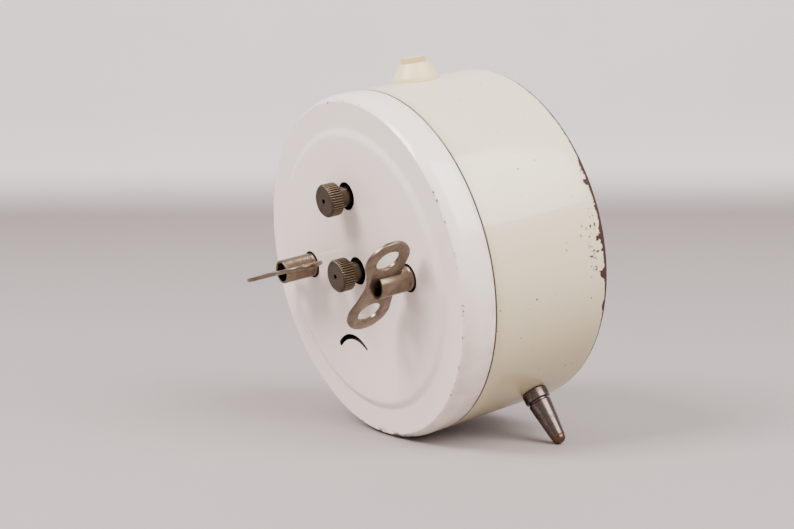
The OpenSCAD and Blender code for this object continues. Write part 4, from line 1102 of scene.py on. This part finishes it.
class CLOCK_OT_stage(bpy.types.Operator):
    """Sets the floor, the soft lights and the camera."""
    bl_idname = "clock.stage"
    bl_label = "Stage"

    def execute(self, context):
        s = settings("clock_stage")
        self.backdrop(s)
        self.lights()
        self.camera(s)
        return {"FINISHED"}

    def backdrop(self, s):
        """A pale floor that curves up into a pale wall far behind."""
        forward = np.array((0.834, -0.552))
        side = np.array((0.552, 0.834))
        path = rounded([(-1.6, 0), (1.15, 0, 0.10), (1.15, 1.8)], 16)
        across = np.array((-2.5, 2.5))
        verts = np.array([[*(forward * f + side * a), h] for f, h in path for a in across])
        faces = grid_faces(len(path), 2, False, False)
        mesh = bpy.data.meshes.new("backdrop")
        mesh.from_pydata(verts.tolist(), [], faces.tolist())
        mesh.polygons.foreach_set("use_smooth", np.ones(len(mesh.polygons), bool))
        floor = new_object("backdrop", mesh)
        p = Paint("pale_stage")
        coords = p.node("TexCoord", output="Object")
        _, _, z = p.split(coords)
        cloud = p.node("TexNoise", Vector=coords, Scale=9.0, Detail=5.0)
        tint = p.mix(p.step(z, 0.0, 0.05), s.floor, s.wall)
        tint = p.mix(cloud * 0.12, tint, tone(s.floor, 0.8))
        mesh.materials.append(p.set(Base_Color=tint, Roughness=0.75, Specular_IOR_Level=0.2))

    def lights(self):
        def area(name, position, target, size, power, tint=(1, 1, 1)):
            light = bpy.data.lights.new(name, "AREA")
            light.size = size
            light.energy = power
            light.color = tint
            lamp = new_object(name, light)
            lamp.location = position
            lamp.visible_camera = False
            lamp.rotation_euler = (Vector(target) - Vector(position)).to_track_quat("-Z", "Y").to_euler()

        area("window", (0.06, 0.80, 0.90), (0, 0, 0.05), 0.5, 22.5, (1.0, 0.94, 0.90))
        area("sky", (-1.0, -0.28, 1.0), (0, 0, 0.05), 1.1, 36.0, (1.0, 0.95, 0.91))
        world = bpy.data.worlds.new("studio")
        world.use_nodes = True
        sky = Nodes(world.node_tree)
        _, _, up = sky.split(sky.node("TexCoord", output="Generated"))
        glow = sky.mix(sky.step(up, -0.05, 0.25), (0.15, 0.13, 0.12), (0.98, 0.93, 0.91))
        background = world.node_tree.nodes["Background"]
        sky.feed(background.inputs["Color"], glow)
        background.inputs["Strength"].default_value = 0.79
        bpy.context.scene.world = world

    def camera(self, s):
        """The camera looks down a little at the clock's back from its right-hand side."""
        lens = bpy.data.cameras.new("camera")
        lens.lens = s.focal_mm
        lens.sensor_width = 36
        lens.clip_start = 0.01
        camera = new_object("camera", lens)
        position = ORIGIN + BASIS @ Vector(CAMERA_PLACE) * MM
        target = ORIGIN + BASIS @ Vector(CAMERA_TARGET) * MM
        turn = (target - position).to_track_quat("-Z", "Y").to_matrix().to_4x4()
        roll = Matrix.Rotation(math.radians(CAMERA_ROLL), 4, "Z")
        camera.matrix_world = Matrix.Translation(position) @ turn @ roll
        bpy.context.scene.camera = camera


class CLOCK_OT_movement(bpy.types.Operator):
    """Gives the parts of the movement their metals."""
    bl_idname = "clock.movement"
    bl_label = "Movement finishes"

    def execute(self, context):
        finishes = {
            "plate_brass": brass("plate_brass", scale=0.6),
            "wheel_brass": brass("wheel_brass", (0.66, 0.47, 0.20), 0.28),
            "nut_brass": brass("nut_brass", (0.60, 0.45, 0.22), 0.34, 2.0),
            "spring_steel": plated("spring_steel", (0.16, 0.18, 0.23), 0.25, 0.3, (0.3, 0.3, 5.0)),
            "hairspring_blue": plated("hairspring_blue", (0.05, 0.09, 0.24), 0.25, 0.2),
            "bell_steel": plated("bell_steel", (0.50, 0.49, 0.48), 0.22, 0.25),
            "steel_work": plated("steel_work", (0.42, 0.41, 0.40), 0.28, 0.3, (0.5, 0.5, 4.0)),
            "reflector_finish": plated("reflector_finish", (0.55, 0.53, 0.48), 0.35, 0.2, (3.0, 3.0, 0.5)),
        }
        finish_nodes(finishes)
        return {"FINISHED"}


class CLOCK_PT_panel(bpy.types.Panel):
    """Lists the clock's operators."""
    bl_idname = "CLOCK_PT_panel"
    bl_label = "Alarm clock"
    bl_space_type = "VIEW_3D"
    bl_region_type = "UI"
    bl_category = "Clock"

    def draw(self, context):
        for operator in OPERATORS:
            self.layout.operator(operator.bl_idname)


GROUPS = {
    "clock_case": CaseSettings,
    "clock_cover": CoverSettings,
    "clock_knobs": KnobSettings,
    "clock_keys": KeySettings,
    "clock_feet": FootSettings,
    "clock_button": ButtonSettings,
    "clock_dial": DialSettings,
    "clock_stage": StageSettings,
}
OPERATORS = (CLOCK_OT_stage, CLOCK_OT_case, CLOCK_OT_cover, CLOCK_OT_knobs, CLOCK_OT_keys, CLOCK_OT_feet,
             CLOCK_OT_button, CLOCK_OT_front, CLOCK_OT_movement)
CLASSES = (*GROUPS.values(), *OPERATORS, CLOCK_PT_panel)


def register():
    for item in CLASSES:
        bpy.utils.register_class(item)
    for name, group in GROUPS.items():
        setattr(bpy.types.Scene, name, PointerProperty(type=group))


def unregister():
    for name in GROUPS:
        delattr(bpy.types.Scene, name)
    for item in reversed(CLASSES):
        bpy.utils.unregister_class(item)


def main():
    register()
    for operator in OPERATORS:
        group, name = operator.bl_idname.split(".")
        getattr(getattr(bpy.ops, group), name)()


if __name__ == "__main__":
    main()
